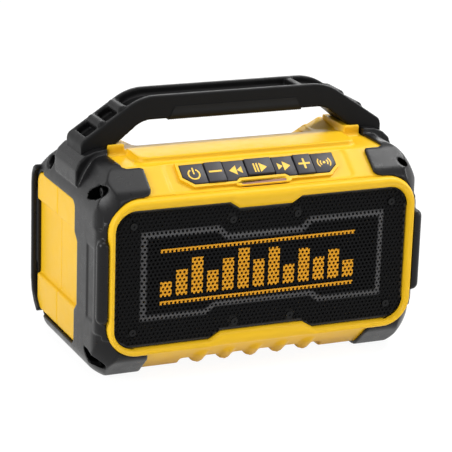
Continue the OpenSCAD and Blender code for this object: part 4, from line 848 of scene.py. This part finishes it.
def trim_to_outline(bm, outline, screws):
    """Takes away the holes at the edge and at the screws and closes the plate there."""
    kept = {}
    gone = []
    for face in bm.faces:
        cell = nearest_hole(face.calc_center_median())
        if cell not in kept:
            middle = hole_centre(cell)
            kept[cell] = (edge_distance(middle, outline) > EDGE_CLEAR
                          and all(math.dist(middle, screw) > SCREW_CLEAR for screw in screws))
        if not kept[cell]:
            gone.append(face)
    bmesh.ops.delete(bm, geom=gone, context="FACES")

    rim = []
    for edge in bm.edges:
        if edge.is_boundary:
            middle = (edge.verts[0].co + edge.verts[1].co) / 2
            if math.dist(flat(middle), hole_centre(nearest_hole(middle))) > HOLE_R + 0.2:
                rim.append(edge)

    def at_screw(edge):
        start = flat(edge.verts[0].co)
        return (any(math.dist(start, screw) < ROUND_SCREW for screw in screws)
                and edge_distance(start, outline) > OFF_EDGE)

    near = [e for e in rim if at_screw(e)]
    bmesh.ops.edgeloop_fill(bm, edges=near)
    border = outline_edges(bm, outline, 0)[1]
    close = set(near)
    open_edges = border + [e for e in rim if e not in close]
    filled = bmesh.ops.triangle_fill(bm, edges=open_edges, use_beauty=True)["geom"]
    over = [
        f for f in filled
        if isinstance(f, bmesh.types.BMFace) and kept.get(nearest_hole(f.calc_center_median()))
    ]
    bmesh.ops.delete(bm, geom=over, context="FACES_ONLY")


def perforated_grille():
    sheet = hole_grid()
    bm = bmesh.new()
    bm.from_mesh(sheet.data)
    bmesh.ops.remove_doubles(bm, verts=bm.verts, dist=2e-5)
    screws = [(side * x, z) for x, z in GRILLE_SCREWS for side in (-1, 1)]
    trim_to_outline(bm, round_outline(GRILLE, 0, notched=True), screws)

    raised = EMBOSS + [(-x, z) for x, z in reversed(EMBOSS)]
    # Marks the embossed slopes for the painted highlight in the grille's finish.
    painted_slope_highlight = bm.verts.layers.float.new("painted_slope_highlight")
    for v in bm.verts:
        lift = max(0.0, min(1.0, (edge_distance(flat(v.co), raised) + SLOPE_START) / SLOPE_WIDE))
        v.co.y = (GRILLE_FRONT - EMBOSS_RISE * lift * lift * (3 - 2 * lift)) * MM
        v[painted_slope_highlight] = min(1.0, 6 * lift * (1 - lift))
    bmesh.ops.recalc_face_normals(bm, faces=bm.faces)
    if sum(f.normal.y for f in bm.faces) > 0:
        bmesh.ops.reverse_faces(bm, faces=bm.faces)
    bm.to_mesh(sheet.data)
    bm.free()
    wall = sheet.modifiers.new("wall", "SOLIDIFY")
    wall.thickness = PLATE * MM
    wall.offset = -1
    settled(sheet)
    sheet.data.shade_smooth()
    sheet.data.set_sharp_from_angle(angle=math.radians(40))
    finished(sheet, "grille_metal", replaces=["grille"])


# Keys and their signs

def key_caps():
    for key in ("power", "volume_down", "previous", "play", "next", "volume_up", "pairing"):
        cap = piece_from(f"{key}_key_cap", bevelled(node_copy(f"{key}_key"), 0.7), 50)
        finished(cap, "key_rubber", f"{key}_button", [f"{key}_key"])


def bar_sign(bm, x, y, w, h):
    """A flat bar centred at (x, y) on the key, in millimetres."""
    made = bmesh.ops.create_grid(bm, x_segments=1, y_segments=1, size=0.5)["verts"]
    bmesh.ops.scale(bm, verts=made, vec=(w, h, 1))
    bmesh.ops.translate(bm, verts=made, vec=(x, y, 0))


def arrow_sign(bm, x, y, w, h, point):
    """A flat triangle whose base stands at x and whose tip points along point."""
    made = bmesh.ops.create_circle(bm, segments=3, radius=1, cap_ends=True)["verts"]
    made.sort(key=lambda v: math.atan2(v.co.y, v.co.x))
    corners = [(x, y - point * h / 2), (x + point * w, y), (x, y + point * h / 2)]
    for v, corner in zip(made, corners):
        v.co = (*corner, 0)


def ring_sign(bm, x, y, r, stroke, start, sweep):
    """An arc of a flat ring, from the angle start round by sweep degrees."""
    inner = bm.verts.new((x + r - stroke / 2, y, 0))
    outer = bm.verts.new((x + r + stroke / 2, y, 0))
    edge = bm.edges.new((inner, outer))
    turn = Matrix.Rotation(math.radians(start), 3, "Z")
    bmesh.ops.rotate(bm, verts=[inner, outer], cent=(x, y, 0), matrix=turn)
    bmesh.ops.spin(bm, geom=[inner, outer, edge], cent=(x, y, 0), axis=(0, 0, 1),
                   angle=math.radians(sweep), steps=max(6, int(sweep / 9)), use_merge=sweep >= 360)


def key_signs():
    mid = [(KEY_EDGE[i] + KEY_EDGE[i + 1]) / 2 for i in range(3)]

    def sign(name, body, x, raised, draw):
        bm = bmesh.new()
        draw(bm)
        bmesh.ops.recalc_face_normals(bm, faces=bm.faces)
        for f in bm.faces:
            if f.normal.z < 0:
                f.normal_flip()
        risen = bmesh.ops.extrude_face_region(bm, geom=bm.faces[:])["geom"]
        bmesh.ops.translate(bm, verts=verts_of(risen), vec=(0, 0, INK))
        bmesh.ops.recalc_face_normals(bm, faces=bm.faces)
        top = KEY_TOP + (KEY_RAISE if raised else 0)
        on_key = Matrix.Translation((x, PAD_MIDDLE, top - INK_SUNK)) @ SIGN_SIZE
        bmesh.ops.transform(bm, matrix=BROW @ Matrix.Scale(MM, 4) @ on_key, verts=bm.verts)
        finished(piece_from(name, bm), "key_rubber", body, finish="icon_ink")

    def power(bm):
        ring_sign(bm, 0, -0.4, 4.9, 1.3, 118, 304)
        bar_sign(bm, 0, 2.9, 1.4, 6.6)

    def minus(bm):
        bar_sign(bm, 0, 0, 11.6, 1.7)

    def plus(bm):
        bar_sign(bm, 0, 0, 10.4, 1.8)
        bar_sign(bm, 0, 3.05, 1.8, 4.3)
        bar_sign(bm, 0, -3.05, 1.8, 4.3)

    def back(bm):
        arrow_sign(bm, 1.0, 0, 6.6, 9.6, -1)
        arrow_sign(bm, 6.0, 0, 4.6, 7.0, -1)

    def ahead(bm):
        arrow_sign(bm, -1.0, 0, 6.6, 9.6, 1)
        arrow_sign(bm, -6.0, 0, 4.6, 7.0, 1)

    def play(bm):
        bar_sign(bm, -5.2, 0, 1.4, 9.0)
        bar_sign(bm, -2.6, 0, 1.4, 9.0)
        arrow_sign(bm, -0.5, 0, 6.6, 9.4, 1)

    def pairing(bm):
        bmesh.ops.create_circle(bm, segments=20, radius=1.3, cap_ends=True)
        for r in (3.4, 5.9):
            ring_sign(bm, 0, 0, r, 1.2, -42, 84)
            ring_sign(bm, 0, 0, r, 1.2, 138, 84)

    sign("power_sign", "power_button", -mid[2], False, power)
    sign("volume_down_sign", "volume_down_button", -mid[1], True, minus)
    sign("previous_sign", "previous_button", -mid[0], False, back)
    sign("play_sign", "play_button", 0.0, True, play)
    sign("next_sign", "next_button", mid[0], False, ahead)
    sign("volume_up_sign", "volume_up_button", mid[1], True, plus)
    sign("pairing_sign", "pairing_button", mid[2], False, pairing)


def light_frame():
    """The yellow lip with pointed ends round the light bar."""
    bm = bmesh.new()
    rings = []
    for tip, half, low, high in ((28.0, 24.8, 1.9, 7.4), (22.2, 21.2, 3.2, 6.2)):
        middle = (low + high) / 2
        points = [(tip, middle), (half, high), (-half, high), (-tip, middle), (-half, low), (half, low)]
        ring = [bm.verts.new((x, y, -0.6)) for x, y in points]
        rings += [bm.edges.new((ring[i - 1], ring[i])) for i in range(6)]
    flat = bmesh.ops.bridge_loops(bm, edges=rings)["faces"]
    risen = bmesh.ops.extrude_face_region(bm, geom=flat)["geom"]
    bmesh.ops.translate(bm, verts=verts_of(risen), vec=(0, 0, 2.1))
    bmesh.ops.recalc_face_normals(bm, faces=bm.faces)
    bmesh.ops.transform(bm, matrix=BROW @ Matrix.Scale(MM, 4), verts=bm.verts)
    finished(piece_from("light_frame", bevelled(bm, 0.7, 40), 50), "yellow_shell")


def latch_spring():
    """The coil behind the latch, a plain copy of its node; the real coil shortens as the latch is pressed."""
    spring = piece_from("latch_spring_coil", node_copy("pack_latch_spring"), 60)
    finished(spring, "screw_steel", "battery_pack", ["pack_latch_spring"])
    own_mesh(spring)


# Everything that stays a CAD node

def dress_nodes():
    for entry in frame["record"]["subparts"]:
        mesh = NODE[entry["node"]].data
        mesh.materials.clear()
        mesh.materials.append(FINISH[entry["material_slot"]])
    for name, finish in (("guard_screws", "black_screw"), ("grille_screws", "gloss_black"),
                         ("housing_screws", "black_screw"), ("handle_screws", "black_screw")):
        mesh = NODE[name].data
        mesh.materials.clear()
        mesh.materials.append(FINISH[finish])


FINISH = make_finishes()
photo_camera()
studio()
dress_nodes()
housing()
rear_ramps()
guards()
rear_rims()
handle()
grip()
bezel()
perforated_grille()
key_caps()
key_signs()
light_frame()
latch_spring()
